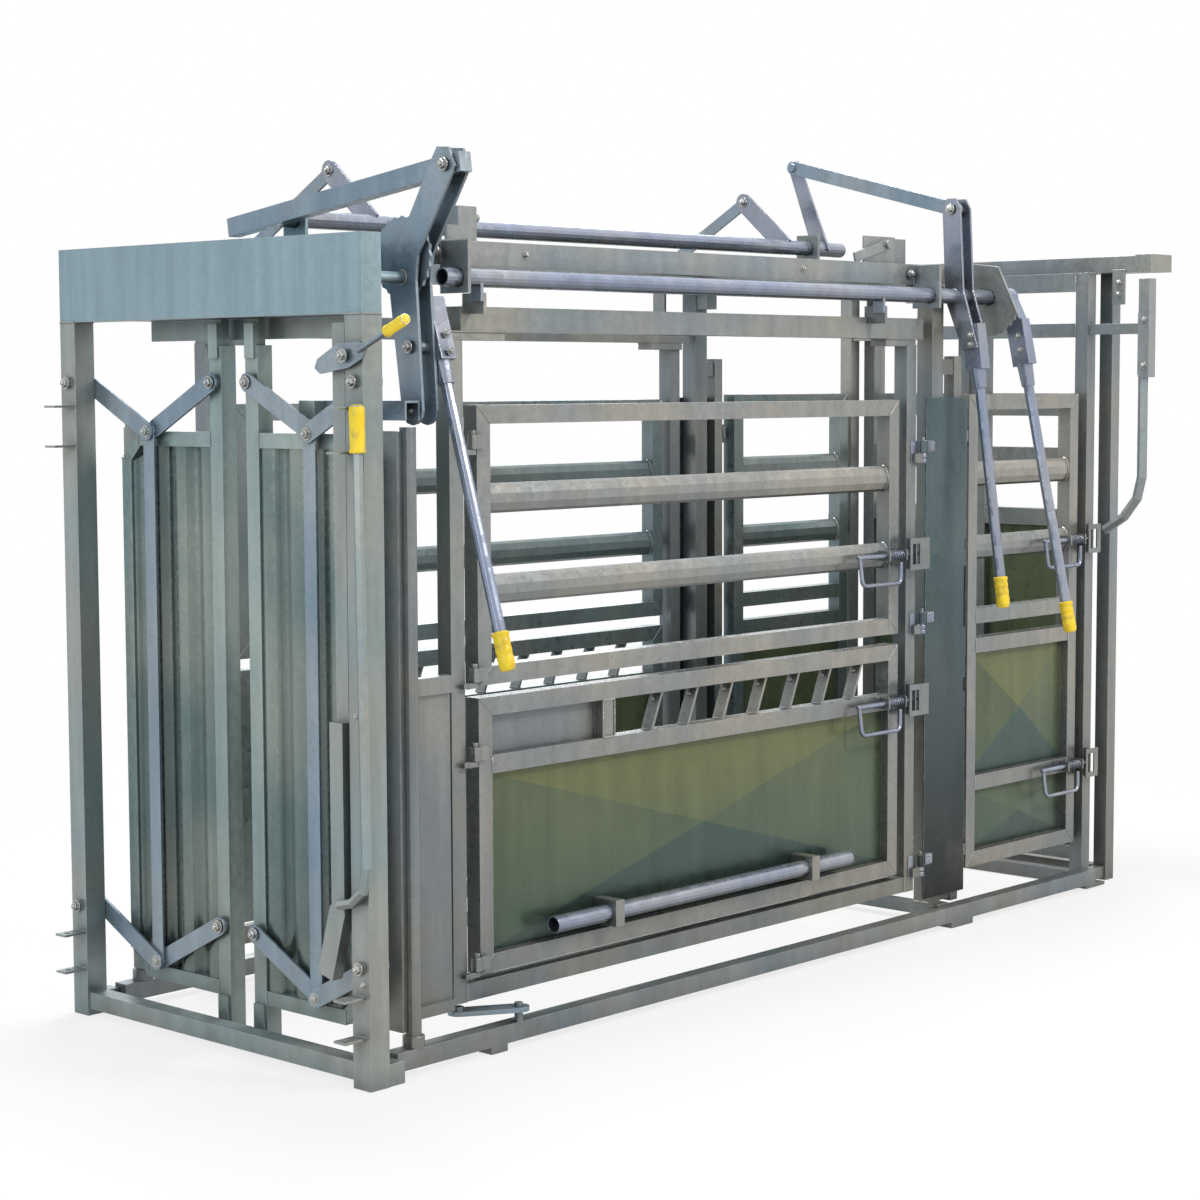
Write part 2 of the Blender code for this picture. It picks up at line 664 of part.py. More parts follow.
def head_bail_quadrant():
    x = span(CRANK_PLATES_X[0] + PLATE_T + 0.012, 0.008)
    plate = sector(x, quadrant_outline((-0.520, CRANK_PIVOT[1] + 0.053), 0.105, 24, 0.005))
    hole = pin_hole(x, (-CRANK_PIVOT[0], CRANK_PIVOT[1]), 0.015 + GAP)
    fuse("head_bail_quadrant", plate, holes=[hole])


def lever(name, x, top, tilt, length, socket_from, half):
    """A hand lever: box head, tapered socket and pipe, with its grip as a piece of its own."""
    y, z = top
    down = Vector((0, -math.sin(tilt), -math.cos(tilt)))
    head = Vector((x, y, z))
    shapes = [strut(head - down * 0.035, head + down * socket_from, 2 * half, 0.062)]
    start = head + down * (socket_from - 0.004)
    shapes.append(rod(start, head + down * (socket_from + 0.060), 0.026, 12, 0.0215))
    tip = head + down * length
    shapes.append(rod(start, tip, LEVER_R, 12))
    grip_start = tip - down * (GRIP_LENGTH - 0.008)
    grip = rod(grip_start, tip + down * 0.008, GRIP_R, 12)
    inner = bore(grip_start - down * 0.01, tip + down * GAP, LEVER_R + GAP, 12)
    fuse(name, shapes, origin=head)
    fuse(name + "_grip", [grip], YELLOW, origin=head, holes=[inner])


def lock_cam_lever():
    y, z = -CAM_PIVOT[0], CAM_PIVOT[1]
    outline = [(y + 0.115, z - 0.030), (y + 0.105, z - 0.008), (y + 0.030, z + 0.030),
               (y - 0.045, z + 0.034),
               (y - 0.075, z + 0.020), (y - 0.060,
                                        z - 0.008), (y - 0.010, z - 0.030), (y + 0.095, z - 0.044)]
    plate = sector(CAM_X, outline)
    x = sum(CAM_X) / 2
    handle_start = Vector((x - 0.004, y - 0.050, z + 0.012))
    handle_end = Vector((x - 0.030, y - 0.185, z + 0.058))
    handle = rod(handle_start, handle_end, 0.0075, 10)
    along = (handle_end - handle_start).normalized()
    grip = rod(handle_end - along * 0.004, handle_end + along * 0.085, 0.013, 12)
    fuse("lock_cam_lever", [plate, handle, grip], origin=(x, y, z),
         holes=[pin_hole(CAM_X, (y, z), 0.009 + PIN_GAP)])


def push_bar():
    y = (-PUSH_BAR_Y, -PUSH_BAR_Y + 0.045)
    flat = block(PUSH_BAR_X, y, PUSH_BAR_Z)
    tube_x = (PUSH_BAR_X[1] - 0.036, PUSH_BAR_X[1])
    tube = block(tube_x, (y[0] - 0.004, y[1] - 0.001), (0.440, PUSH_BAR_Z[0] + 0.010))
    foot_start = Vector((sum(tube_x) / 2, sum(y) / 2, 0.455))
    foot_end = Vector((sum(tube_x) / 2, -0.465, 0.275))
    foot = strut(foot_start, foot_end, tube_x[1] - tube_x[0] - 0.001, 0.058)
    handle_x = -0.026
    route = [Vector((handle_x, -0.630, 1.620)), Vector((handle_x, -0.645, 0.580)),
             Vector((handle_x, -0.630, 0.515)),
             Vector((handle_x, -0.590, 0.482)), Vector((handle_x, -0.545,
                                                        0.472)), Vector((0.006, -0.520, 0.468))]
    handle = bend(route, 0.0135)
    lean = (route[0] - route[1]).normalized()
    grip = rod(route[0] - lean * 0.010, route[0] + lean * 0.105, 0.0185, 14)
    fuse("push_bar", [tube, flat, foot, handle, grip])


def head_bail_drive():
    head_bail_crank()
    crank_link()
    drive_channel()
    head_bail_quadrant()
    lever("head_bail_lever", LEVER_1_X, (-0.5565, 1.957), math.radians(16.6), 0.930, 0.130, 0.0265)
    lock_cam_lever()
    push_bar()


# Base, portal and rear frame


def ring_plate(x, axis_y, axis_z, y, z, radius):
    """A bearing plate and the hole through it."""
    return block(x, y, z), pin_hole(x, (axis_y, axis_z), radius)


def base_frame():
    rails = []
    for side in (NEAR, FAR):
        rail = block((0.1204, 3.4546), BASE_Y, BASE_Z)
        foot = block((0.46, 0.52), BASE_Y, (0.0, BASE_Z[0] + 0.002))
        rear_foot = block((PORTAL_MAIN_X[0] + 0.040, PORTAL_MAIN_X[1] + 0.100), BASE_Y,
                          (0.0, BASE_Z[0] + 0.002))
        rails += mirrored([rail, foot, rear_foot], side)
    tie = block((2.60, 2.65), (BASE_Y[0] + 0.01, -BASE_Y[0] - 0.01), (BASE_Z[0] + 0.004, BASE_Z[1] - 0.010))
    pin = rod((*SWING_BASE, BASE_Z[1] - 0.004), (*SWING_BASE, SWING_Z[1] + 0.010), 0.012, 12)
    fuse("base_frame", [tie, rails, pin])


def swing_link():
    z = SWING_Z
    base = Vector((*SWING_BASE, sum(z) / 2))
    end = Vector((*SWING_FRAME, sum(z) / 2))
    run = end - base
    bm = bmesh.new()
    turn = Matrix.Rotation(math.atan2(run.y, run.x), 4, "Z")
    size = Matrix.Diagonal((run.length, 0.060, z[1] - z[0], 1.0))
    bmesh.ops.create_cube(bm, size=1.0, matrix=Matrix.Translation((base + end) / 2) @ turn @ size)
    eyes = [rod((*p, z[0]), (*p, z[1]), 0.030, 12) for p in (SWING_BASE, SWING_FRAME)]
    head = rod((*SWING_FRAME, z[1] - 0.002), (*SWING_FRAME, z[1] + 0.010), 0.014, 6)
    hole = bore((*SWING_BASE, z[0] - 0.01), (*SWING_BASE, z[1] + 0.01), 0.012 + PIN_GAP, 12)
    fuse("swing_link_near", [bm, eyes, head], origin=base, holes=[hole])


def middle_portal():
    solids = []
    holes = []
    for side in (NEAR, FAR):
        y = (-0.5285, -0.4685)
        main = block(PORTAL_MAIN_X, y, (BASE_Z[1] + GAP, HEIGHT - 0.0655))
        hinge_post = block(PORTAL_HINGE_X, (y[0] + 0.002, y[0] + 0.042), (BASE_Z[1] + GAP, HEIGHT - 0.290))
        tie_low = block((PORTAL_MAIN_X[0] + 0.01, PORTAL_HINGE_X[1] - 0.01), (y[0] + 0.006, y[0] + 0.036),
                        (0.080, 0.130))
        tie_top = block((PORTAL_MAIN_X[0] + 0.01, PORTAL_HINGE_X[1] - 0.01), (y[0] + 0.006, y[0] + 0.036),
                        (HEIGHT - 0.350, HEIGHT - 0.300))
        stand = block(PORTAL_MAIN_X, (BASE_Y[1] - 0.02, y[1]), (BASE_Z[1] + GAP, BASE_Z[1] + 0.010))
        knee_x = (PORTAL_MAIN_X[0] + 0.004, PORTAL_MAIN_X[1] - 0.004)
        knee = [block(knee_x, (-0.472, -0.4205), (HEIGHT - 0.120, HEIGHT - 0.066)),
                block(knee_x, (-0.4375, -0.4215), (HEIGHT - 0.119, HEIGHT - 0.055))]
        pins = [rod((HINGE_VET_X, HINGE_VET_Y, z - 0.035), (HINGE_VET_X, HINGE_VET_Y, z + 0.030),
                    HINGE_VET_R, 10)
                for z in VET_HINGES_Z]
        arms = [block((PORTAL_HINGE_X[1] - 0.020, HINGE_VET_X + 0.004), around(HINGE_VET_Y, 0.016),
                      (z - 0.035, z - 0.020))
                for z in VET_HINGES_Z]
        solids += mirrored([main, hinge_post, tie_low, tie_top, stand, *knee, *pins, *arms], side)
    beam = block(PORTAL_MAIN_X, (-0.4380, 0.4380), (HEIGHT - 0.065, HEIGHT))
    centre = sum(PORTAL_MAIN_X) / 2
    bearing = block(around(centre, BEARING_T), (-0.045, 0.045), (HEIGHT - 0.004, CENTRE_Z + 0.044))
    holes.append(pin_hole(around(centre, BEARING_T), (0.0, CENTRE_Z), TORQUE_R + PIN_GAP))
    arm = block((PORTAL_MAIN_X[1] - 0.01, QUADRANT_X[1] - 0.001), (-0.4365, -0.4005),
                (HEIGHT - 0.055, HEIGHT - 0.005))
    hub = (-TUBE_Y, TUBE_Z)
    edge = []
    for i in range(19):
        angle = math.radians(205 + 5.5 * i)
        reach = 0.125 - (0.004 if i % 2 else 0.0)
        edge.append((hub[0] + reach * math.cos(angle), hub[1] + reach * math.sin(angle)))
    outline = edge + [(-0.470, hub[1] - 0.060), (-0.402, hub[1] + 0.048), (-0.402, hub[1] + 0.092),
                      (-0.470, hub[1] + 0.115), (-0.600, hub[1] + 0.100)]
    quadrant = sector(QUADRANT_X, outline)
    holes.append(pin_hole(QUADRANT_X, hub, TORQUE_R + PIN_GAP))
    fuse("middle_portal", [beam, solids, bearing, arm, quadrant], holes=holes)


def top_beam(name, side):
    """Fixed upper beam, with the bearing plates of the squeeze tube bolted to it."""
    y = (-BEAM_B_Y, -BEAM_B_Y + BEAM_B_SIZE)
    z = (HEIGHT - BEAM_B_SIZE, HEIGHT)
    front = FRONT_CROSS_X[0] if side == NEAR else POST + GAP
    beam = block((front, PORTAL_MAIN_X[1] - 0.002), y, z)
    shapes = [beam]
    holes = []
    if side == NEAR:
        for x in (0.385, 2.470):
            plate_x = span(x, BEARING_T)
            shapes.append(block(plate_x, (-TUBE_Y - 0.040, y[0] + 0.004), (TUBE_Z - 0.040, z[1] - 0.004)))
            holes.append(pin_hole(plate_x, (-TUBE_Y, TUBE_Z), TORQUE_R + PIN_GAP))
            for bolt_x in (x + 0.035, x - 0.025):
                shapes.append(rod((bolt_x, y[0] - 0.008, z[0] + 0.034),
                                  (bolt_x, y[0] + 0.004, z[0] + 0.034), 0.011, 6))
        mid = sum(y) / 2
        shapes.append(block((0.455, 0.522), (mid - 0.026, mid + 0.026), (z[1] - 0.002, z[1] + 0.090)))
        shapes.append(block((0.415, 0.457), (mid - 0.026, mid - 0.018), (z[1] - 0.002, z[1] + 0.040)))
        shapes.append(rod((0.518, mid, z[1] + 0.062), (0.548, mid, z[1] + 0.062), 0.022, 12, 0.012))
        shapes.append(block((POST_R_X - 0.185, POST_R_X - 0.025), (mid - 0.020, mid - 0.012),
                            (z[1] - 0.002, z[1] + 0.082)))
        shapes.append(block((POST_R_X - 0.038, POST_R_X + 0.040), (mid - 0.014, mid + 0.024),
                            (z[1] - 0.001, z[1] + 0.078)))
        arm_x = POST_R_X - 0.075
        arm_y = mid - 0.023
        shapes.append(slope((POST_R_X - 0.240, arm_y, z[1] + 0.012), (arm_x, arm_y, z[1] + 0.058), 0.008,
                            0.032))
        shapes.append(rod((arm_x, arm_y - 0.014, z[1] + 0.058), (arm_x, arm_y + 0.010, z[1] + 0.058),
                          0.013, 8))
    fuse(f"top_beam_{name}", mirrored(shapes, side), holes=mirrored(holes, side))


def rear_frame():
    solids = []
    holes = []
    post_a = span(REAR_POST_X, FRAME)
    post_c = span(REAR_POST_X + 0.160, 0.052)
    y = (-REAR_Y, -REAR_Y + FRAME)
    for side in (NEAR, FAR):
        shapes = [
            block(post_a, y, (0.0, TRACK_Z[0] + 0.002)),
            block(post_c, y, (0.0, TRACK_Z[0] + 0.002)),
            block((post_a[0] + 0.01, post_c[1] - 0.01), (y[0] + 0.006, y[1] - 0.006), (0.010, 0.050)),
            block((post_a[0] - 0.06, post_a[0] + 0.06), (BASE_Y[0], y[0] + 0.004),
                  (0.008, BASE_Z[0] - GAP)),
        ]
        for z in LATCH_VET_Z:
            box, box_holes = keeper((VET_X[1] + 0.006, post_a[1] - 0.004), post_a[0] + 0.003, z,
                                    y[0] + 0.003)
            shapes += box
            holes += mirrored(box_holes, side)
        solids += mirrored(shapes, side)
    inside = REAR_Y - 0.01
    header = block(post_a, (-inside, inside), (TRACK_Z[0] - 0.062, TRACK_Z[0] + 0.001))
    cross = block((post_a[0] + 0.004, post_a[1] - 0.004), (-inside, inside),
                  (J_PIVOT_Z - 0.026, J_PIVOT_Z + 0.022))
    sills = [block((x[0] + 0.003, x[1] - 0.003), (-inside, inside),
                   (0.004, 0.050)) for x in (post_a, post_c)]
    track = block((post_a[1] - 0.006, post_c[0] + 0.008), (-0.700, 0.700), TRACK_Z)
    caps = [block((post_a[1] - 0.012, post_c[0] + 0.014), (side * 0.696, side * 0.758),
                  (TRACK_Z[0], TRACK_Z[1] + 0.004))
            for side in (NEAR, FAR)]
    hanger = block((post_a[1] - 0.012, post_a[1] - 0.004), (-0.655, -0.607),
                   (TRACK_Z[0] - 0.110, TRACK_Z[0] + 0.010))
    arm = block((post_a[0] + 0.006, post_a[1] - 0.012), (-0.7325, -REAR_Y + 0.01), around(J_PIVOT_Z, 0.036))
    pivot = rod((J_PIVOT_X, -0.7420, J_PIVOT_Z), (J_PIVOT_X, -0.700, J_PIVOT_Z), 0.010, 12)
    fuse("rear_frame", [header, solids, cross, sills, track, caps, hanger, arm, pivot], holes=holes)


# Squeeze linkage


def squeeze_tube_near():
    hub = (-TUBE_Y, TUBE_Z)
    tube = rod((TUBE_X[0], *hub), (TUBE_X[1] + 0.230, *hub), TORQUE_R, 16)
    bores = [rod((x - 0.045, *hub), (x + 0.045, *hub), TORQUE_R - 0.0036, 12)
             for x in (TUBE_X[0], TUBE_X[1] + 0.230)]
    arms = [block(span(x, ARM_T), (hub[0] - 0.020, hub[0] + 0.020), (1.990, TUBE_Z)) for x in ARM_X]
    outline = [(hub[0] - 0.036, hub[1] + 0.020), (hub[0] - 0.094, 1.885), (hub[0] - 0.036, 1.878),
               (hub[0] + 0.032, hub[1] - 0.010), (hub[0] + 0.046, NEAR_CRANK_PIN[1] + 0.010),
               (hub[0] + 0.030, NEAR_CRANK_PIN[1] + 0.034), (hub[0] - 0.004, NEAR_CRANK_PIN[1] + 0.034),
               (hub[0] - 0.022, NEAR_CRANK_PIN[1] + 0.004)]
    plates = [sector(span(x, PLATE_T), outline) for x in CRANK_X]
    pin = rod((CRANK_X[0] - 0.006, *NEAR_CRANK_PIN), (CRANK_X[1] + PLATE_T + 0.006, *NEAR_CRANK_PIN),
              BOLT_R, 10)
    fuse("squeeze_tube_near", [tube, arms, plates, pin], origin=(CRANK_X[0], *hub), holes=bores)


def squeeze_tube_centre():
    hub = (0.0, CENTRE_Z)
    tube = rod((CENTRE_X[0], *hub), (CENTRE_X[1], *hub), TORQUE_R, 16)
    bores = [rod((x - 0.045, *hub), (x + 0.045, *hub), TORQUE_R - 0.0036, 12) for x in CENTRE_X]
    shapes = [tube]
    for x in (V_FRONT_X, V_REAR_X):
        shapes += [link((x, *hub), (x, *V_TIP), PLATE_T, 0.062)[0],
                   rod((x - 0.004, *V_TIP), (x + 0.004, *V_TIP), 0.030, 12)]
        shapes.append(rod((x - 0.004, *V_TIP), (x + 0.020, *V_TIP), BOLT_R, 10))
    x = (CROSS_X[1] + PIN_GAP, CROSS_X[1] + PIN_GAP + PLATE_T)
    arm_y, arm_z = CENTRE_ARM_PIN
    outline = [(-0.034, CENTRE_Z - 0.005), (0.030, CENTRE_Z - 0.020), (arm_y + 0.024, arm_z),
               (arm_y + 0.014, arm_z + 0.022),
               (arm_y - 0.014, arm_z + 0.022), (arm_y - 0.026, arm_z + 0.002)]
    shapes.append(sector(x, outline))
    shapes.append(rod((x[1] - 0.004, *CENTRE_ARM_PIN), (x[1] + 0.007, *CENTRE_ARM_PIN), BOLT_R * 1.5, 6))
    fuse("squeeze_tube_centre", shapes, origin=(CENTRE_X[0], *hub), holes=bores)


def squeeze_cross_link():
    mid = sum(CROSS_X) / 2
    bar = link((mid, *NEAR_CRANK_PIN), (mid, *CENTRE_ARM_PIN), CROSS_X[1] - CROSS_X[0], 0.044)
    bar.append(rod((CROSS_X[0] - 0.007, *CENTRE_ARM_PIN), (CROSS_X[0] + 0.004, *CENTRE_ARM_PIN),
                   BOLT_R * 1.5, 6))
    holes = [pin_hole(CROSS_X, NEAR_CRANK_PIN)]
    fuse("squeeze_cross_link", bar, origin=(mid, *NEAR_CRANK_PIN), holes=holes)


def v_link(name, crank_x):
    x = (crank_x + PLATE_T / 2 + PIN_GAP, crank_x + PLATE_T * 1.5 + PIN_GAP)
    mid = sum(x) / 2
    bar = link((mid, *V_TIP), (mid, *V_LUG), PLATE_T, 0.038)
    bar.append(rod((x[0] - 0.007, *V_LUG), (x[0] + 0.004, *V_LUG), BOLT_R * 1.5, 6))
    fuse(f"v_link_{name}", bar, origin=(mid, *V_TIP), holes=[pin_hole(x, V_TIP)])


# Side frames and doors


def side_frame(name, side):
    y = outer(SIDE_Y, FRAME)
    posts = [block(span(x, FRAME), y, SIDE_POST_Z) for x in (POST_L_X, POST_R_X)]
    sill = block((POST_L_X + 0.01, POST_R_X + 0.04), (y[0] + 0.001, y[1] - 0.001),
                 (SIDE_POST_Z[0] + 0.001, 0.184))
    beam_y = outer(SIDE_Y, BEAM_B_SIZE)
    beam = block((POST_L_X + 0.045, POST_R_X + FRAME + 0.035), beam_y, BEAM_A_Z)
    flanges = [block(x, (y[0] + 0.002, beam_y[1] - 0.002), (SIDE_POST_Z[1] - 0.003, BEAM_A_Z[0] + 0.002))
               for x in ((POST_L_X + 0.002, POST_L_X + 0.210),
                         (POST_R_X - 0.110, POST_R_X + FRAME - 0.002))]
    shapes = [posts, sill, beam, flanges]
    for z in UPPER_HINGES_Z + LOWER_HINGES_Z:
        shapes.append(block((POST_L_X + FRAME - 0.004, HINGE_DOOR_X + 0.004), around(HINGE_Y, 0.016),
                            (z - 0.034, z - 0.020)))
        shapes.append(rod((HINGE_DOOR_X, HINGE_Y, z - 0.034), (HINGE_DOOR_X, HINGE_Y, z + 0.030), HINGE_R,
                          10))
        shapes.append(block((POST_L_X + FRAME - 0.020, POST_L_X + FRAME - 0.003),
                            (HINGE_Y - 0.007, y[0] + 0.004), (z - 0.033, z - 0.021)))
    for z in FILLER_HINGES_Z:
        shapes.append(block((POST_R_X + FRAME - 0.006, FILLER_HINGE_X + 0.003), around(HINGE_Y, 0.010),
                            (z - 0.040, z - 0.010)))
        shapes.append(rod((FILLER_HINGE_X, HINGE_Y, z - 0.040), (FILLER_HINGE_X, HINGE_Y, z + 0.040), 0.006,
                          8))
        shapes.append(block((POST_R_X + FRAME - 0.020, POST_R_X + FRAME - 0.005),
                            (HINGE_Y - 0.004, y[0] + 0.004), (z - 0.039, z - 0.011)))
    holes = []
    for z in LATCH_DOOR_Z:
        box, box_holes = keeper((DOOR_X[1] + 0.004, POST_R_X + 0.066), POST_R_X + 0.001, z, y[0] + 0.003)
        shapes += box
        holes += box_holes
    if side == NEAR:
        for x in ARM_X:
            lug_x = span(x + ARM_T + GAP, ARM_T)
            shapes.append(block(lug_x, (-TUBE_Y - 0.020, beam_y[0] + 0.020),
                                (BEAM_A_Z[1] - 0.020, BEAM_A_Z[1] + 0.034)))
    else:
        for x in (V_FRONT_X, V_REAR_X):
            lug_x = span(x + PLATE_T * 1.5 + 2 * PIN_GAP, 0.010)
            shapes.append(block(lug_x, (-V_LUG[0] - 0.022, -V_LUG[0] + 0.030),
                                (BEAM_A_Z[1] - 0.030, V_LUG[1] + 0.022)))
            shapes.append(block(lug_x, (-V_LUG[0] - 0.010, beam_y[0] + 0.020),
                                (BEAM_A_Z[1] - 0.030, BEAM_A_Z[1] - 0.004)))
    fuse(f"side_frame_{name}", mirrored(flatten(shapes), side), holes=mirrored(holes, side))


def oval_rail(x, y_mid, z):
    """An oval cattle rail along X."""
    bm = rod((x[0], y_mid, z), (x[1], y_mid, z), 0.5, 10)
    centre = Vector((sum(x) / 2, y_mid, z))
    bmesh.ops.translate(bm, vec=-centre, verts=bm.verts)
    bmesh.ops.scale(bm, vec=(1.0, RAIL_THICK, RAIL_TALL), verts=bm.verts)
    bmesh.ops.translate(bm, vec=centre, verts=bm.verts)
    return bm


def hinge_eyes(hinge, heights, edge_x, pin_radius, plane_y):
    """Door-side knuckles about an (x, y) axis outside the door's plane, and the holes for their pins."""
    solids = []
    holes = []
    x, y = hinge
    inward = math.copysign(1.0, plane_y - y)
    for z in heights:
        knuckle = (z - 0.018, z + 0.018)
        solids.append(rod((x, y, knuckle[0]), (x, y, knuckle[1]), pin_radius + 0.006, 8))
        solids.append(block((x + pin_radius + 0.002, edge_x + 0.020),
                            (y - inward * 0.006, y + inward * 0.004), knuckle))
        solids.append(block((edge_x + 0.003, edge_x + 0.019),
                            (y + inward * 0.001, plane_y + inward * 0.003), knuckle))
        holes.append(bore((x, y, z - 0.05), (x, y, z + 0.05), pin_radius + PIN_GAP, 10))
    return solids, holes


def latch_ears(edge_x, z, plane_y):
    """The two ears on a door that carry a sliding bolt."""
    solids = []
    holes = []
    for x in EARS_BACK:
        solids.append(block(span(edge_x - x, EAR_T), (LATCH_Y - 0.016, plane_y + 0.012), around(z, 0.034)))
        mouth = span(edge_x - x - 0.01, EAR_T + 0.02)
        holes.append(bore((mouth[0], LATCH_Y, z), (mouth[1], LATCH_Y, z), BOLT_ROD_R + PIN_GAP, 8))
    return solids, holes


def keeper(x, leg_x, z, back_y):
    """A slotted box plate over the end of a sliding bolt, and its holes."""
    face = block(x, KEEPER_Y, around(z, KEEPER_TALL))
    leg = block(span(leg_x, 0.006), (KEEPER_Y[1] - 0.001, back_y), around(z, KEEPER_TALL - 0.001))
    slot = block((x[0] + 0.012, x[0] + 0.052), (KEEPER_Y[0] - 0.01, KEEPER_Y[1] + 0.0005), around(z, 0.066))
    mouth = bore((leg_x - 0.01, LATCH_Y, z), (leg_x + 0.016, LATCH_Y, z), BOLT_ROD_R + PIN_GAP, 8)
    return [face, leg], [slot, mouth]


def frame_of(x, y, z):
    """A rectangle of square tube."""
    trim = 0.0005
    stiles = [block(span(start, FRAME), y, z) for start in (x[0], x[1] - FRAME)]
    rails = [block((x[0] + 0.01, x[1] - 0.01), (y[0] + trim, y[1] - trim), (low, high))
             for low, high in ((z[0] + trim, z[0] + FRAME), (z[1] - FRAME, z[1] - trim))]
    return stiles + rails


def upper_door(name, side):
    y = outer(SIDE_Y, FRAME)
    mid = sum(y) / 2
    ears, ear_holes = latch_ears(DOOR_X[1], LATCH_DOOR_Z[0], y[0])
    eyes, eye_holes = hinge_eyes((HINGE_DOOR_X, HINGE_Y), UPPER_HINGES_Z, DOOR_X[0], HINGE_R, y[0])
    rails = [oval_rail((DOOR_X[0] + 0.02, DOOR_X[1] - 0.02), mid, z) for z in UPPER_RAILS_Z]
    shapes = frame_of(DOOR_X, y, UPPER_DOOR_Z) + rails + ears + eyes
    origin = (HINGE_DOOR_X, side * -HINGE_Y, sum(UPPER_DOOR_Z) / 2)
    fuse(f"upper_door_{name}", mirrored(shapes, side), origin=origin,
         holes=mirrored(ear_holes + eye_holes, side))


def pressed_sheet(x, y, z, rise):
    """A thin sheet with a shallow pyramid pressed towards -Y or, on a crosswise sheet, -X."""
    sheet = block(x, y, z)
    peak = bmesh.new()
    middle = [sum(x) / 2, sum(y) / 2, sum(z) / 2]
    if x[1] - x[0] > y[1] - y[0]:
        wide = x[1] - x[0], z[1] - z[0]
        turn = Matrix.Rotation(math.pi / 2, 4, "X")
        middle[1] = y[0] - rise / 2 + 0.0002
    else:
        wide = z[1] - z[0], y[1] - y[0]
        turn = Matrix.Rotation(-math.pi / 2, 4, "Y")
        middle[0] = x[0] - rise / 2 + 0.0002
    size = Matrix.Diagonal((wide[0] / math.sqrt(2), wide[1] / math.sqrt(2), rise, 1.0))
    place = Matrix.Translation(middle)
    bmesh.ops.create_cone(
        peak, cap_ends=True, segments=4, radius1=1.0, radius2=0.0, depth=1.0,
        matrix=place @ turn @ size @ Matrix.Rotation(math.pi / 4, 4, "Z"),
    )
    return [sheet, peak]


def lower_door(name, side):
    y = outer(SIDE_Y, FRAME)
    mid = sum(y) / 2
    low, high = LOWER_DOOR_Z
    mid_rail = around(LOWER_MID_RAIL_Z, FRAME)
    inside = (DOOR_X[0] + FRAME - 0.004, DOOR_X[1] - FRAME + 0.004)
    shapes = frame_of(DOOR_X, y, LOWER_DOOR_Z)
    shapes.append(block((DOOR_X[0] + 0.02, DOOR_X[1] - 0.02), (y[0] + 0.001, y[1] - 0.001), mid_rail))
    shapes.append(block(span(STUB_POST_X, FRAME), (y[0] + 0.002, y[1] - 0.002),
                        (mid_rail[1] - 0.01, high - 0.03)))
    shapes.append(block((inside[0], STUB_POST_X + 0.01), (mid + 0.006, mid + 0.006 + SHEET_T),
                        (mid_rail[1] - 0.006, high - FRAME + 0.006)))
    shapes += pressed_sheet(inside, (mid + 0.002, mid + 0.002 + SHEET_T),
                            (low + FRAME - 0.004, mid_rail[0] + 0.004), 0.014)
    pitch = (STRIP_LAST_X - STRIP_FIRST_X) / (STRIP_COUNT - 1)
    for i in range(STRIP_COUNT):
        x = STRIP_FIRST_X + i * pitch
        lean = math.atan2(STRIP_LEAN, high - FRAME - mid_rail[1])
        length = math.hypot(STRIP_LEAN, high - FRAME - mid_rail[1]) + 0.030
        bar = bmesh.new()
        centre = Vector((x + STRIP_LEAN / 2, mid, (high - FRAME + mid_rail[1]) / 2))
        size = Matrix.Diagonal((FLAT_T, 0.040, length, 1.0))
        bmesh.ops.create_cube(bar, size=1.0,
                              matrix=Matrix.Translation(centre) @ Matrix.Rotation(lean, 4, "Y") @ size)
        shapes.append(bar)
    ears, ear_holes = latch_ears(DOOR_X[1], LATCH_DOOR_Z[1], y[0])
    eyes, eye_holes = hinge_eyes((HINGE_DOOR_X, HINGE_Y), LOWER_HINGES_Z, DOOR_X[0], HINGE_R, y[0])
    shapes += ears + eyes
    holes = ear_holes + eye_holes
    if side == NEAR:
        for x in RUMP_TABS_X:
            shapes.append(block(span(x, 0.035), (RUMP_Y - TORQUE_R - 0.009, mid + 0.003),
                                around(RUMP_Z, 0.074)))
            holes.append(bore((x - 0.01, RUMP_Y, RUMP_Z), (x + 0.045, RUMP_Y, RUMP_Z), TORQUE_R + GAP, 16))
    origin = (HINGE_DOOR_X, side * -HINGE_Y, sum(LOWER_DOOR_Z) / 2)
    fuse(f"lower_door_{name}", mirrored(flatten(shapes), side), origin=origin, holes=mirrored(holes, side))


def rump_pipe():
    pipe = rod((RUMP_X[0], RUMP_Y, RUMP_Z), (RUMP_X[1], RUMP_Y, RUMP_Z), TORQUE_R, 16)
    bores = [rod((x - 0.06, RUMP_Y, RUMP_Z), (x + 0.06, RUMP_Y, RUMP_Z), TORQUE_R - 0.0036,
                 12) for x in RUMP_X]
    fuse("rump_pipe_near", pipe, ZINC, holes=bores)


def latch(name, edge_x, z, reach):
    """A sliding bolt with its drop handle, and the spring between the ears."""
    y = LATCH_Y
    bolt = rod((edge_x - 0.245, y, z), (edge_x + reach, y, z), BOLT_ROD_R, 10)
    low = (y - 0.012, z - HANDLE_DROP)
    left = edge_x - 0.236
    right = edge_x - 0.036
    round_off = 0.014
    drop = [Vector((left, y, z)), Vector((left, low[0], low[1] + round_off)),
            Vector((left + round_off, *low)),
            Vector((right - round_off, *low)), Vector((right, low[0], low[1] + round_off)),
            Vector((right, low[0], z - 0.022))]
    handle = bend(drop, HANDLE_R)
    fuse(f"latch_bolt_{name}", [bolt, handle], ZINC, origin=(edge_x, y, z))
    coil_spring(f"latch_spring_{name}", edge_x - EARS_BACK[0] + EAR_T + GAP, y, z)


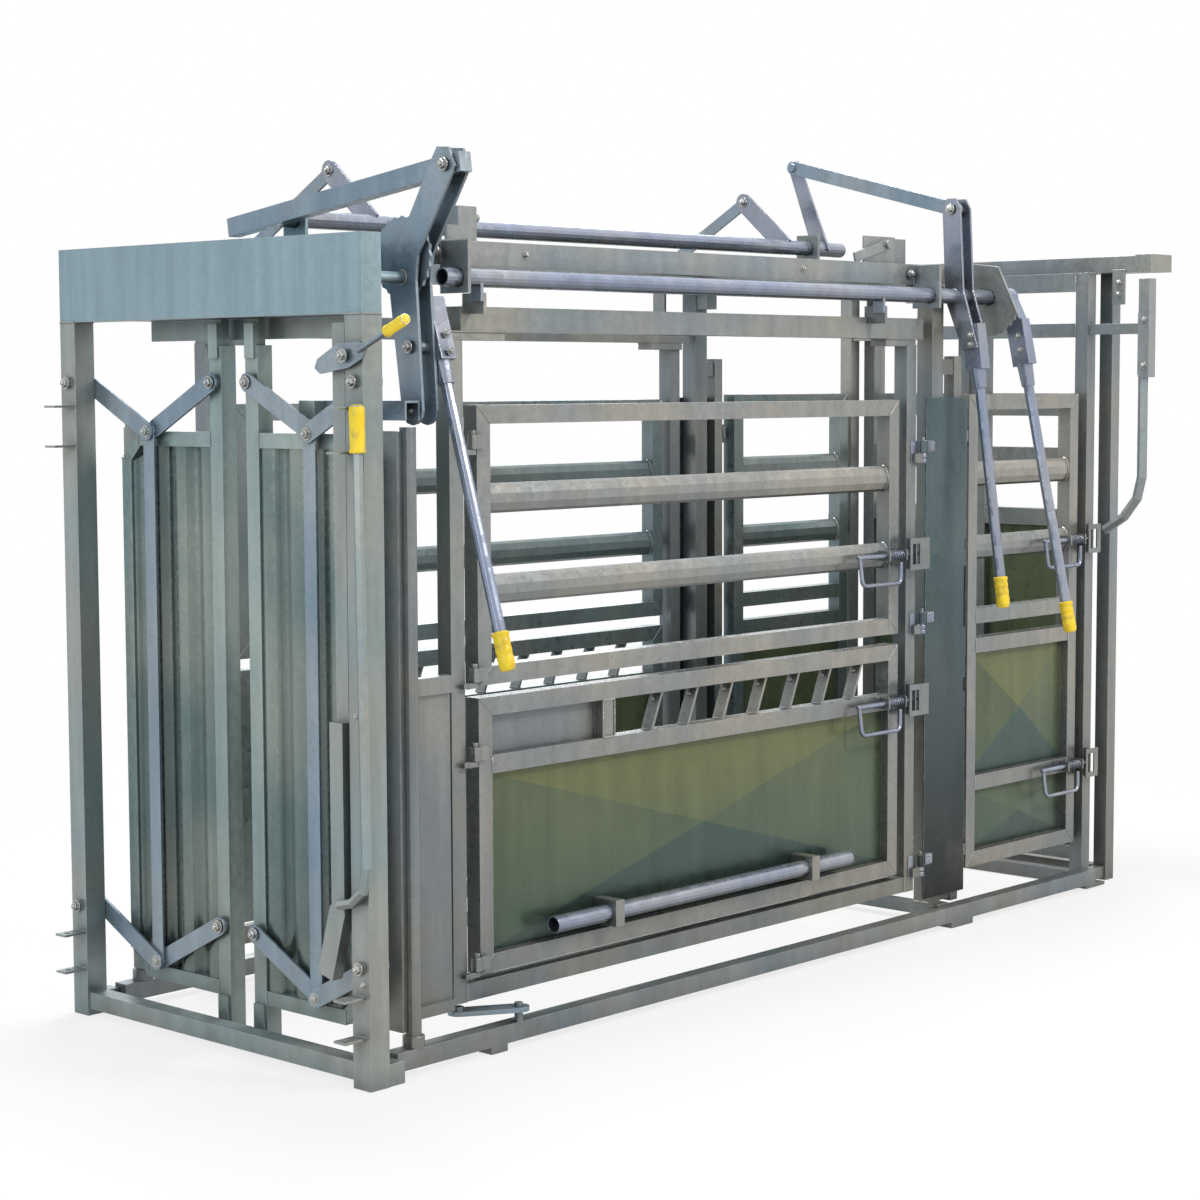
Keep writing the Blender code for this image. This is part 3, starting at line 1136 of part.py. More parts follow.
def spring_points(length):
    """Points along one wound wire whose ends leave square to the ears."""
    points = [Vector((0.0, SPRING_R, 0.0)), Vector((SPRING_WIRE_R * 2, SPRING_R, 0.0))]
    lead = SPRING_WIRE_R * 4
    wound = length - 2 * lead
    steps = SPRING_CURLS * SPRING_POINTS
    for i in range(steps + 1):
        angle = 2 * math.pi * i / SPRING_POINTS
        points.append(Vector((lead + wound * i / steps, SPRING_R * math.cos(angle),
                              SPRING_R * math.sin(angle))))
    points.append(Vector((length - SPRING_WIRE_R * 2, SPRING_R, 0.0)))
    points.append(Vector((length, SPRING_R, 0.0)))
    return points


def coil_spring(name, start, y, z):
    curve = bpy.data.curves.new(name, "CURVE")
    curve.dimensions = "3D"
    curve.bevel_depth = SPRING_WIRE_R
    curve.bevel_resolution = 1
    curve.use_fill_caps = True
    points = spring_points(SPRING_LENGTH)
    spline = curve.splines.new("POLY")
    spline.points.add(len(points) - 1)
    for target, point in zip(spline.points, points):
        target.co = (*point, 1.0)
    obj = bpy.data.objects.new(name, curve)
    obj.location = (start, y, z)
    obj.parent = ROOT
    PARTS.objects.link(obj)
    curve.materials.append(material(name, ZINC))


def report_spring_gap():
    """Prints the least gap of a latch spring to itself, measured on points half a curl or more apart."""
    points = spring_points(SPRING_LENGTH)
    least = min(
        (a - b).length
        for i, a in enumerate(points)
        for b in points[i + SPRING_POINTS // 2 + 1:]
    )
    print(f"latch spring: least gap to itself {(least - 2 * SPRING_WIRE_R) * 1000:.2f} mm")


def front_filler(name, side):
    """The round upright beside the head bail, with its filler panel."""
    y = -UPRIGHT_Y
    pipe = rod((UPRIGHT_X, y, BASE_Z[1] + GAP), (UPRIGHT_X, y, UPRIGHT_TOP), UPRIGHT_R, 14)
    collar = rod((UPRIGHT_X, y, BASE_Z[1] + GAP), (UPRIGHT_X, y, BASE_Z[1] + 0.030), UPRIGHT_R + 0.008, 14)
    panel = block((UPRIGHT_X + 0.010, PANEL_X[1]), (y - 0.002, y + 0.002), (0.150, 0.985))
    rail = block((UPRIGHT_X + 0.010, PANEL_X[1]), (y - 0.015, y + 0.015), (0.980, 1.025))
    wing_x = (UPRIGHT_X - 0.034, UPRIGHT_X - 0.030)
    wing = [block(wing_x, (y + 0.004, y + 0.088), (0.110, UPRIGHT_TOP - 0.010)),
            block((wing_x[0] + 0.001, UPRIGHT_X - 0.010), (y + 0.003, y + 0.009),
                  (0.111, UPRIGHT_TOP - 0.011))]
    low_rail = block((UPRIGHT_X + 0.010, PANEL_X[1]), (y - 0.012, y + 0.012), (0.140, 0.170))
    origin = (UPRIGHT_X, side * UPRIGHT_Y, BASE_Z[1])
    fuse(f"front_filler_{name}", mirrored([pipe, collar, panel, rail, low_rail, *wing], side),
         origin=origin)


def rear_filler(name, side):
    y = (-0.5355, -0.5305)
    plate = block(FILLER_X, y, FILLER_Z)
    solids = [plate]
    holes = []
    for z in FILLER_HINGES_Z:
        knuckle = (z - 0.008, z + 0.030)
        solids.append(rod((FILLER_HINGE_X, HINGE_Y, knuckle[0]), (FILLER_HINGE_X, HINGE_Y, knuckle[1]),
                          0.0115, 8))
        solids.append(block((FILLER_HINGE_X + 0.007, FILLER_X[0] + 0.03), around(HINGE_Y, 0.009), knuckle))
        holes.append(bore((FILLER_HINGE_X, HINGE_Y, z - 0.05), (FILLER_HINGE_X, HINGE_Y, z + 0.05),
                          0.006 + PIN_GAP, 8))
        slot = (z - 0.045, z - 0.0075)
        holes.append(block((FILLER_X[0] - 0.01, FILLER_X[0] + 0.006), (y[0] - 0.01, y[1] + 0.01), slot))
    for z in (1.245, 0.785):
        holes.append(block((FILLER_X[1] - 0.012, FILLER_X[1] + 0.01), (y[0] - 0.01, y[1] + 0.01),
                           around(z, 0.045)))
    origin = (FILLER_HINGE_X, side * -HINGE_Y, FILLER_Z[0])
    fuse(f"rear_filler_{name}", mirrored(solids, side), SHEET, origin=origin, holes=mirrored(holes, side))


def vet_gate(name, side):
    y = outer(SIDE_Y, FRAME)
    mid = sum(y) / 2
    x = VET_X
    shapes = frame_of(x, y, VET_Z)
    shapes += [oval_rail((x[0] + 0.02, x[1] - 0.02), mid, z) for z in UPPER_RAILS_Z]
    for z in ((0.978, 1.028), (0.880, 0.930), (0.420, 0.470)):
        shapes.append(block((x[0] + 0.02, x[1] - 0.02), (y[0] + 0.001, y[1] - 0.001), z))
    inside = (x[0] + FRAME - 0.004, x[1] - FRAME + 0.004)
    sheet_y = span(mid + 0.004, SHEET_T)
    for z in ((VET_Z[0] + FRAME - 0.004, 0.424), (0.466, 0.890)):
        shapes += pressed_sheet(inside, sheet_y, z, 0.014)
    eyes, holes = hinge_eyes((HINGE_VET_X, HINGE_VET_Y), VET_HINGES_Z, x[0], HINGE_VET_R,
                             HINGE_VET_Y + 0.006)
    shapes += eyes
    for z in LATCH_VET_Z:
        ears, ear_holes = latch_ears(x[1], z, y[0])
        shapes += ears
        holes += ear_holes
    origin = (HINGE_VET_X, side * -HINGE_VET_Y, sum(VET_Z) / 2)
    fuse(f"vet_gate_{name}", mirrored(flatten(shapes), side), origin=origin, holes=mirrored(holes, side))


# Rear gate


def rear_gate(name, side):
    y = (-GATE_Y[1], -GATE_Y[0])
    stile = 0.048
    stiles = [block(GATE_X, span(start, stile), GATE_Z) for start in (y[0], y[1] - stile)]
    rails = [block((GATE_X[0] + 0.001, GATE_X[1] - 0.001), (y[0] + 0.01, y[1] - 0.01), z)
             for z in (span(GATE_Z[0] + 0.001, stile), *GATE_RAILS_Z)]
    mid = sum(GATE_X) / 2
    sheet = pressed_sheet((mid, mid + SHEET_T), (y[0] + stile - 0.004, y[1] - stile + 0.004),
                          (GATE_Z[0] + stile - 0.004, GATE_RAILS_Z[0][0] + 0.004), 0.014)
    hangers = [block((mid - 0.010, mid + 0.010), around(place, 0.040),
                     (GATE_Z[1] - 0.010, TRACK_Z[0] - GAP))
               for place in (y[0] + stile / 2, y[1] - stile / 2)]
    fuse(f"rear_gate_{name}", mirrored(flatten([stiles, rails, sheet, hangers]), side))


def rear_gate_handle():
    x = J_PIVOT_X
    y = -0.7560
    box = block((x - 0.021, x + 0.021), (y - 0.021, y + 0.021), (J_PIVOT_Z - 0.166, J_PIVOT_Z + 0.169))
    flange = block((x - 0.021, x + 0.021), (y + 0.018, y + 0.0232), (J_PIVOT_Z - 0.156, J_PIVOT_Z + 0.054))
    route = [Vector((x, y + 0.012, J_PIVOT_Z - 0.156)), Vector((x, y + 0.012, 1.450)),
             Vector((x, y + 0.030, 1.375)),
             Vector((x, y + 0.080, 1.310)), Vector((x, y + 0.155, 1.262))]
    hole = bore((x, -0.7450, J_PIVOT_Z), (x, -0.7250, J_PIVOT_Z), 0.010 + PIN_GAP, 10)
    fuse("rear_gate_handle", [box, flange, bend(route, 0.0168)], origin=(x, y, J_PIVOT_Z), holes=[hole])


def gate_lever():
    hub = Vector((LEVER_3_X, -TUBE_Y, TUBE_Z))
    head = Vector((LEVER_3_X, -0.6145, 1.948))
    tilt = math.radians(12.1)
    down = Vector((0, -math.sin(tilt), -math.cos(tilt)))
    sleeve_x = (QUADRANT_X[1] + PIN_GAP, LEVER_3_X + 0.022)
    sleeve = rod((sleeve_x[0], *hub[1:]), (sleeve_x[1], *hub[1:]), 0.034, 16)
    neck = strut(hub, head, 0.044, 0.060)
    shapes = [sleeve, neck, strut(head - down * 0.030, head + down * 0.120, 0.0445, 0.064)]
    start = head + down * 0.116
    tip = head + down * 1.000
    shapes.append(rod(start, head + down * 0.190, 0.026, 12, 0.0215))
    shapes.append(rod(start, tip, LEVER_R, 12))
    mouth = bore((sleeve_x[0] - 0.01, *hub[1:]), (sleeve_x[1] + 0.01, *hub[1:]), TORQUE_R + PIN_GAP, 16)
    fuse("gate_lever", shapes, origin=hub, holes=[mouth])
    grip_start = tip - down * (GRIP_LENGTH - 0.008)
    grip = rod(grip_start, tip + down * 0.008, GRIP_R, 12)
    inner = bore(grip_start - down * 0.01, tip + down * GAP, LEVER_R + GAP, 12)
    fuse("gate_lever_grip", grip, YELLOW, origin=hub, holes=[inner])


def squeeze():
    squeeze_tube_near()
    squeeze_tube_centre()
    squeeze_cross_link()
    v_link("front", V_FRONT_X)
    v_link("rear", V_REAR_X)
    swing_link()
    lever("squeeze_lever", sum(CRANK_X) / 2 + PLATE_T / 2, (-0.6235, 1.925), math.radians(7.9), 0.870,
          0.110, 0.0225)


def body():
    base_frame()
    middle_portal()
    rear_frame()
    for name, side in (("near", NEAR), ("far", FAR)):
        top_beam(name, side)
        side_frame(name, side)
        upper_door(name, side)
        lower_door(name, side)
        front_filler(name, side)
        rear_filler(name, side)
        vet_gate(name, side)
        rear_gate(name, side)
    rump_pipe()
    latch("upper", DOOR_X[1], LATCH_DOOR_Z[0], 0.075)
    latch("lower", DOOR_X[1], LATCH_DOOR_Z[1], 0.075)
    latch("vet_upper", VET_X[1], LATCH_VET_Z[0], 0.060)
    latch("vet_lower", VET_X[1], LATCH_VET_Z[1], 0.060)
    report_spring_gap()


def centre_on_base():
    """Moves the root so that the origin is below the middle of the whole part."""
    bpy.context.view_layer.update()
    solids = [obj for obj in PARTS.objects if obj.type != "EMPTY"]
    corners = [obj.matrix_world @ Vector(corner) for obj in solids for corner in obj.bound_box]
    middle = [(min(c[i] for c in corners) + max(c[i] for c in corners)) / 2 for i in (0, 1)]
    ROOT.location = (-middle[0], -middle[1], -min(c[2] for c in corners))
    bpy.context.view_layer.update()
    print("root", [round(v, 5) for v in ROOT.location])


head_bail()
head_bail_drive()
squeeze()
body()
gate_lever()
rear_gate_handle()
centre_on_base()
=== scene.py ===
"""Looks for the manual cattle crush: studio, galvanised steel materials, bolts, welds, hinges and grips."""

import math
import random

import bmesh
import bpy
from mathutils import Matrix, Vector


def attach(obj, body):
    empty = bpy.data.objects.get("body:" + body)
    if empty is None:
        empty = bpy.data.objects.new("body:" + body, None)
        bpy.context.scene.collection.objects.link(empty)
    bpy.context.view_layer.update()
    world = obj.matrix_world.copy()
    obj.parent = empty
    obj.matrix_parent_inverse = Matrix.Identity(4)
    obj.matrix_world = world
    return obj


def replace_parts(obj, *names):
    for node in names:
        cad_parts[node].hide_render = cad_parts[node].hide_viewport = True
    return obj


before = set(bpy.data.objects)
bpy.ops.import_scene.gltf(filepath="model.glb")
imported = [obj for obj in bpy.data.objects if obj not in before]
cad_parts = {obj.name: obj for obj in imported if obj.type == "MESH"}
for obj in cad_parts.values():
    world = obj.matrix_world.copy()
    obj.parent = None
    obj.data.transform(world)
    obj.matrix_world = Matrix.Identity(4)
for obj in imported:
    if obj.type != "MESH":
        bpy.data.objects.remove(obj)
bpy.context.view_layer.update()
random.seed(7)

# The row's origin, seen from the front face of the head-bail posts on the middle plane
X0 = -1.7985
Y0 = 0.04441

NEAR = -1.0
FAR = 1.0

# Half the width of the head bail, the outer face of the side frames' doors, the square
# tube of those, and the square tube of the head bail's posts
HALF_WIDTH = 0.6235
SIDE_Y = 0.5235
TUBE = 0.050
POST = 0.065

# Hinges and outer face of the rear filler plates
FILLER_HINGES_Z = (1.560, 1.010, 0.220)
FILLER_HINGE_X = 2.485
FILLER_HINGE_Y = 0.5335
FILLER_FACE_Y = 0.5355

# The slanted strips above the sheet of the lower doors
STRIP_COUNT = 7
STRIP_FIRST_X = 1.190
STRIP_PITCH = 0.950 / 6


def at(x, y, z):
    return Vector((x + X0, y + Y0, z))


# Camera at the photograph's angle

def make_camera():
    data = bpy.data.cameras.new("camera")
    data.sensor_width = 36.0
    data.sensor_height = 36.0
    data.sensor_fit = "HORIZONTAL"
    data.lens = 76.84
    data.clip_end = 200.0
    camera = bpy.data.objects.new("camera", data)
    forward = Vector((0.7333, 0.6746, -0.0844)).normalized()
    turn = forward.to_track_quat("-Z", "Y").to_matrix().to_4x4()
    place = Matrix.Translation((-6.0542, -5.2832, 1.7773))
    roll = Matrix.Rotation(-0.0038, 4, "Z")
    camera.matrix_world = place @ turn @ roll
    bpy.context.scene.collection.objects.link(camera)
    bpy.context.scene.camera = camera


# Node helpers

class Graph:
    """A small wrapper that adds and links shader nodes."""

    def __init__(self, name):
        self.material = bpy.data.materials.new(name)
        self.material.use_nodes = True
        self.tree = self.material.node_tree
        self.shader = self.tree.nodes["Principled BSDF"]
        self.out = self.tree.nodes["Material Output"]

    def add(self, kind, **values):
        node = self.tree.nodes.new("ShaderNode" + kind)
        for key, value in values.items():
            setattr(node, key, value)
        return node

    def link(self, source, target):
        self.tree.links.new(source, target)

    def math(self, operation, a, b=0.5, c=0.0, clamp=False):
        node = self.add("Math", operation=operation, use_clamp=clamp)
        for socket, value in zip(node.inputs, (a, b, c)):
            if isinstance(value, (int, float)):
                socket.default_value = value
            else:
                self.link(value, socket)
        return node.outputs[0]

    def mix(self, factor, a, b, blend="MIX"):
        node = self.add("Mix", data_type="RGBA", blend_type=blend)
        for socket, value in ((node.inputs[0], factor), (node.inputs[6], a), (node.inputs[7], b)):
            if isinstance(value, (int, float)):
                socket.default_value = value
            elif isinstance(value, tuple):
                socket.default_value = (*value, 1.0)
            else:
                self.link(value, socket)
        return node.outputs[2]

    def ramp(self, source, low, high, a=0.0, b=1.0):
        node = self.add("MapRange")
        node.inputs["From Min"].default_value = low
        node.inputs["From Max"].default_value = high
        node.inputs["To Min"].default_value = a
        node.inputs["To Max"].default_value = b
        self.link(source, node.inputs["Value"])
        return node.outputs[0]

    def noise(self, coords, scale, detail=3.0, stretch=None):
        if stretch:
            mapping = self.add("Mapping")
            mapping.inputs["Scale"].default_value = stretch
            self.link(coords, mapping.inputs["Vector"])
            coords = mapping.outputs[0]
        node = self.add("TexNoise")
        node.inputs["Scale"].default_value = scale
        node.inputs["Detail"].default_value = detail
        self.link(coords, node.inputs["Vector"])
        return node.outputs["Fac"]


# Pale colour of the painted highlight along edges
EDGE_HIGHLIGHT_COLOUR = (0.72, 0.76, 0.79)
MUD_COLOUR = (0.15, 0.14, 0.12)


def steel(name, cool, warm, rough, metallic, spangle=0.5, grain=70.0, grime=0.5, rounding=0.0025,
          bright=0.5, top=None, fade=1.0, painted_facet_light_and_low_tone=None):
    """Galvanised steel: spangle, slow drift, runs, painted highlights on edges and on faces that look up,
    painted shade in corners and on faces that look down, and grime near the ground.

    fade darkens it toward the ground, top is a height and the colour above it, and the last argument holds
    the colours painted on faces that look down (painted shade) and look up (painted light), and the colour
    of faces that lie low.
    """
    g = Graph(name)
    coords = g.add("TexCoord").outputs["Object"]
    place = g.add("NewGeometry")
    height = g.add("SeparateXYZ")
    g.link(place.outputs["Position"], height.inputs[0])
    height = height.outputs["Z"]
    facing = g.add("SeparateXYZ")
    g.link(place.outputs["Normal"], facing.inputs[0])
    facing = facing.outputs["Z"]
    crystals = g.add("TexVoronoi", feature="F1")
    crystals.inputs["Scale"].default_value = grain
    g.link(coords, crystals.inputs["Vector"])
    split = g.add("SeparateColor")
    g.link(crystals.outputs["Color"], split.inputs[0])
    flake = split.outputs[0]
    drift = g.noise(coords, 2.3, 4.0)
    runs = g.noise(coords, 7.0, 3.0, (3.0, 3.0, 0.35))
    fine = g.noise(coords, 220.0, 2.0)
    tone = g.mix(g.ramp(drift, 0.38, 0.62), cool, warm)
    # Painted light on pressed facets: a darker colour where they look down, a lighter warm one where they
    # look up; the low part takes its own tone
    if painted_facet_light_and_low_tone:
        tone = g.mix(g.ramp(facing, 0.015, 0.05, 0.0, 1.0), tone, painted_facet_light_and_low_tone[1])
        tone = g.mix(g.ramp(height, 0.22, 0.66, 0.0, 1.0), painted_facet_light_and_low_tone[2], tone)
        tone = g.mix(g.ramp(facing, -0.05, -0.015, 0.0, 1.0), painted_facet_light_and_low_tone[0], tone)
    if top:
        tone = g.mix(g.ramp(height, top[0] - 0.004, top[0] + 0.004), tone, top[1])
    shade = g.math("MULTIPLY_ADD", flake, 0.30 * spangle, 1.0 - 0.15 * spangle)
    shade = g.math("MULTIPLY", shade, g.ramp(runs, 0.35, 0.70, 0.90, 1.08))
    shade = g.math("MULTIPLY", shade, g.ramp(fine, 0.3, 0.7, 0.97, 1.03))
    shade = g.math("MULTIPLY", shade, g.ramp(g.noise(coords, 95.0, 5.0), 0.66, 0.76, 1.0, 0.88))
    shade = g.math("MULTIPLY", shade, g.ramp(height, 0.1, 1.3, fade, 1.0))
    # Painted shade on faces that look down and painted highlight on faces that look up
    shade = g.math("MULTIPLY", shade, g.ramp(facing, -0.85, 0.05, 0.32, 1.0))
    shade = g.math("MULTIPLY", shade, g.ramp(facing, 0.10, 0.80, 1.0, 1.32))
    # Painted shade: darker in corners, creases and recesses, from ambient occlusion
    corners = g.add("AmbientOcclusion", samples=1)
    corners.inputs["Distance"].default_value = 0.07
    shade = g.math("MULTIPLY", shade, g.ramp(corners.outputs["AO"], 0.30, 0.92, 0.42, 1.0))
    scale = g.add("CombineColor")
    for i in range(3):
        g.link(shade, scale.inputs[i])
    colour = g.mix(1.0, tone, scale.outputs[0], "MULTIPLY")

    soft = g.add("Bevel", samples=4)
    soft.inputs["Radius"].default_value = rounding
    geometry = g.add("NewGeometry")
    dot = g.add("VectorMath", operation="DOT_PRODUCT")
    g.link(soft.outputs[0], dot.inputs[0])
    g.link(geometry.outputs["Normal"], dot.inputs[1])
    # Painted highlight: the pale colour is mixed in along bevelled edges, broken up by noise; bright sets
    # how much
    edge = g.ramp(dot.outputs["Value"], 0.985, 0.80, 0.0, bright)
    edge = g.math("MULTIPLY", edge, g.ramp(g.noise(coords, 30.0, 3.0), 0.35, 0.65, 0.3, 1.0), clamp=True)
    colour = g.mix(edge, colour, EDGE_HIGHLIGHT_COLOUR)

    low = g.ramp(height, 0.50, 0.0, 0.0, 1.0)
    mud = g.ramp(g.noise(coords, 9.0, 5.0), 0.45, 0.75, 0.0, 1.0)
    dirt = g.math("MULTIPLY", g.math("MULTIPLY", low, mud), grime, clamp=True)
    colour = g.mix(dirt, colour, MUD_COLOUR)
    g.link(colour, g.shader.inputs["Base Color"])

    roughness = g.math("MULTIPLY_ADD", flake, 0.14, rough - 0.07)
    roughness = g.math("ADD", roughness, g.math("MULTIPLY", dirt, 0.3), clamp=True)
    g.link(roughness, g.shader.inputs["Roughness"])
    g.shader.inputs["Metallic"].default_value = metallic

    bump = g.add("Bump")
    bump.inputs["Strength"].default_value = 0.18
    bump.inputs["Distance"].default_value = 0.0012
    g.link(g.noise(coords, 45.0, 4.0), bump.inputs["Height"])
    g.link(soft.outputs[0], bump.inputs["Normal"])
    g.link(bump.outputs[0], g.shader.inputs["Normal"])
    return g.material


def plastic(name, colour, dark, rough, grain):
    """Moulded grip: fine texture, rubbed and soiled patches."""
    g = Graph(name)
    coords = g.add("TexCoord").outputs["Object"]
    soil = g.ramp(g.noise(coords, 38.0, 5.0), 0.50, 0.72, 0.0, 0.55)
    shade = g.mix(g.ramp(g.noise(coords, 9.0, 2.0), 0.3, 0.7), colour, tuple(c * 0.86 for c in colour))
    g.link(g.mix(soil, shade, dark), g.shader.inputs["Base Color"])
    g.link(g.ramp(g.noise(coords, 60.0, 3.0), 0.3, 0.7, rough - 0.06, rough + 0.10),
           g.shader.inputs["Roughness"])
    bump = g.add("Bump")
    bump.inputs["Strength"].default_value = 0.25
    bump.inputs["Distance"].default_value = 0.0006
    g.link(g.noise(coords, grain, 2.0), bump.inputs["Height"])
    g.link(bump.outputs[0], g.shader.inputs["Normal"])
    return g.material


FRAME_STEEL = steel("frame_steel", (0.25, 0.29, 0.32), (0.33, 0.34, 0.33), 0.36, 0.60, 0.35, fade=0.80)
BAIL_STEEL = steel("bail_steel", (0.25, 0.31, 0.32), (0.33, 0.34, 0.32), 0.38, 0.55, 0.25,
                   top=(1.9505, (0.26, 0.36, 0.41)))
LEAF_STEEL = steel("leaf_steel", (0.27, 0.35, 0.35), (0.35, 0.41, 0.39), 0.38, 0.55, 0.35, grime=0.7,
                   fade=0.75)
RIB_STEEL = steel("rib_steel", (0.14, 0.20, 0.20), (0.26, 0.30, 0.27), 0.26, 0.65, 0.30, grime=0.8,
                  fade=0.75)
# Painted shade: a darker, more teal copy of the door steel for the far side's doors and vet gate
FAR_SIDE_SHADED_STEEL = steel("far_side_shaded_steel", (0.17, 0.23, 0.25), (0.24, 0.28, 0.28), 0.34, 0.65, 0.35, fade=0.80)
DOOR_STEEL = steel("door_steel", (0.26, 0.28, 0.29), (0.34, 0.33, 0.30), 0.32, 0.65, 0.35, fade=0.80)
SIDE_STEEL = steel("side_steel", (0.23, 0.26, 0.28), (0.31, 0.31, 0.28), 0.36, 0.60, 0.35, fade=0.75)
# The sheet's facet colours are painted light: shade on facets that look down, light on facets that look up,
# and a tone for the low part
SHEET_STEEL = steel("sheet_steel", (0.110, 0.145, 0.085), (0.145, 0.175, 0.095), 0.32, 0.50, 0.15, 30.0,
                    fade=0.70,
                    painted_facet_light_and_low_tone=((0.070, 0.120, 0.105), (0.160, 0.180, 0.085), (0.090, 0.145, 0.110)))
# bright=0.8 gives the filler plates a strong painted highlight along their edges
PLATE_STEEL = steel("plate_steel", (0.074, 0.118, 0.135), (0.100, 0.138, 0.150), 0.30, 0.55, 0.15, 25.0,
                    bright=0.8, fade=0.05)
BRIGHT_STEEL = steel("bright_steel", (0.26, 0.30, 0.40), (0.33, 0.35, 0.40), 0.24, 0.80, 0.05, 40.0,
                     grime=0.25)
LINK_STEEL = steel("link_steel", (0.21, 0.28, 0.35), (0.30, 0.35, 0.39), 0.34, 0.65, 0.35, 80.0)
BOLT_STEEL = steel("bolt_steel", (0.42, 0.44, 0.45), (0.52, 0.51, 0.48), 0.28, 0.80, 0.1, 160.0,
                   rounding=0.001)
WELD_STEEL = steel("weld_steel", (0.32, 0.35, 0.37), (0.40, 0.40, 0.38), 0.38, 0.65, 0.2, 150.0,
                   rounding=0.0008)
YELLOW = plastic("yellow_grip", (0.86, 0.60, 0.02), (0.30, 0.22, 0.06), 0.42, 500.0)
RUBBER = plastic("black_rubber", (0.025, 0.025, 0.027), (0.09, 0.085, 0.08), 0.70, 300.0)

LOOKS = (
    (("head_bail_leaf",), LEAF_STEEL),
    (("head_bail_frame", "push_bar"), BAIL_STEEL),
    (("side_frame", "middle_portal", "rear_frame", "front_filler", "rear_gate_near", "rear_gate_far"),
     SIDE_STEEL),
    (("toggle_", "knee_bar", "crank_link", "v_link", "squeeze_cross", "head_bail_crank",
      "head_bail_quadrant", "drive_channel", "swing_link", "lock_cam"), LINK_STEEL),
    # The far side's doors and vet gate take the darker painted-shade copy of the door steel
    (("upper_door_far", "lower_door_far", "vet_gate_far"), FAR_SIDE_SHADED_STEEL),
    (("upper_door", "vet_gate", "lower_door"), DOOR_STEEL),
    (("rear_filler",), PLATE_STEEL),
    (("rump_pipe", "squeeze_tube", "latch_", "squeeze_lever", "gate_lever", "head_bail_lever"),
     BRIGHT_STEEL),
)


def dress_nodes():
    for name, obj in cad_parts.items():
        look = next((look for starts, look in LOOKS if name.startswith(starts)), FRAME_STEEL)
        if name.endswith("_grip"):
            look = YELLOW
        if not obj.material_slots:
            obj.data.materials.append(look)
        for slot in obj.material_slots:
            slot.material = look


# Mesh helpers: every list of parts becomes one piece on one body

class Piece:
    def __init__(self, name, body, look, slot="galvanised_steel"):
        self.bm = bmesh.new()
        self.name = name
        self.body = body
        self.look = look
        self.slot = slot

    def take(self, bm):
        mesh = bpy.data.meshes.new("part")
        bm.to_mesh(mesh)
        bm.free()
        self.bm.from_mesh(mesh)
        bpy.data.meshes.remove(mesh)

    def finish(self, smooth=True):
        mesh = bpy.data.meshes.new(self.name)
        self.bm.to_mesh(mesh)
        self.bm.free()
        if smooth:
            mesh.shade_smooth()
        mesh.materials.append(self.look)
        obj = bpy.data.objects.new(self.name, mesh)
        bpy.context.scene.collection.objects.link(obj)
        if smooth:
            mesh.set_sharp_from_angle(angle=math.radians(35))
        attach(obj, self.body)
        return obj


def frame_at(point, axis):
    """The matrix whose +Z runs along axis from point."""
    return Matrix.Translation(point) @ Vector(axis).to_track_quat("Z", "Y").to_matrix().to_4x4()


def lathe(profile, sides, place):
    """A closed turned shape from (radius, height) pairs, its ends capped."""
    bm = bmesh.new()
    rings = []
    for radius, height in profile:
        angles = [2 * math.pi * i / sides for i in range(sides)]
        rings.append([bm.verts.new((radius * math.cos(a), radius * math.sin(a), height)) for a in angles])
    for low, high in zip(rings, rings[1:]):
        for i in range(sides):
            j = (i + 1) % sides
            bm.faces.new((low[i], low[j], high[j], high[i]))
    bm.faces.new(list(reversed(rings[0])))
    bm.faces.new(rings[-1])
    bmesh.ops.transform(bm, matrix=place, verts=bm.verts)
    return bm


def bolt(piece, point, axis, size=0.011, washer=True, flat=1.0):
    """A hex head with chamfered corners on a washer, and the bolt's end through it.

    size is half the width across corners, and flat scales the height.
    """
    turn = Matrix.Rotation(random.uniform(0, 1.0), 4, "Z")
    place = frame_at(point, axis) @ turn @ Matrix.Diagonal((1, 1, flat, 1))
    base = 0.0
    if washer:
        base = size * 0.18
        ring = [(size * 1.35, -0.0005), (size * 1.45, base * 0.4), (size * 1.40, base)]
        piece.take(lathe(ring, 20, place))
    high = base + size * 0.72
    head = [(size, base - 0.0003), (size, high - size * 0.12), (size * 0.86, high)]
    piece.take(lathe(head, 6, place))
    shank = [(size * 0.50, high - 0.0005), (size * 0.50, high + size * 0.28),
             (size * 0.40, high + size * 0.38)]
    piece.take(lathe(shank, 12, place))


def rounded_box(low, high, radius=0.002, segments=2):
    bm = bmesh.new()
    low, high = Vector(low), Vector(high)
    place = Matrix.Translation((low + high) / 2) @ Matrix.Diagonal((*(high - low), 1.0))
    bmesh.ops.create_cube(bm, size=1.0, matrix=place)
    bmesh.ops.bevel(bm, geom=bm.edges[:], offset=radius, segments=segments, affect="EDGES", profile=0.6)
    return bm


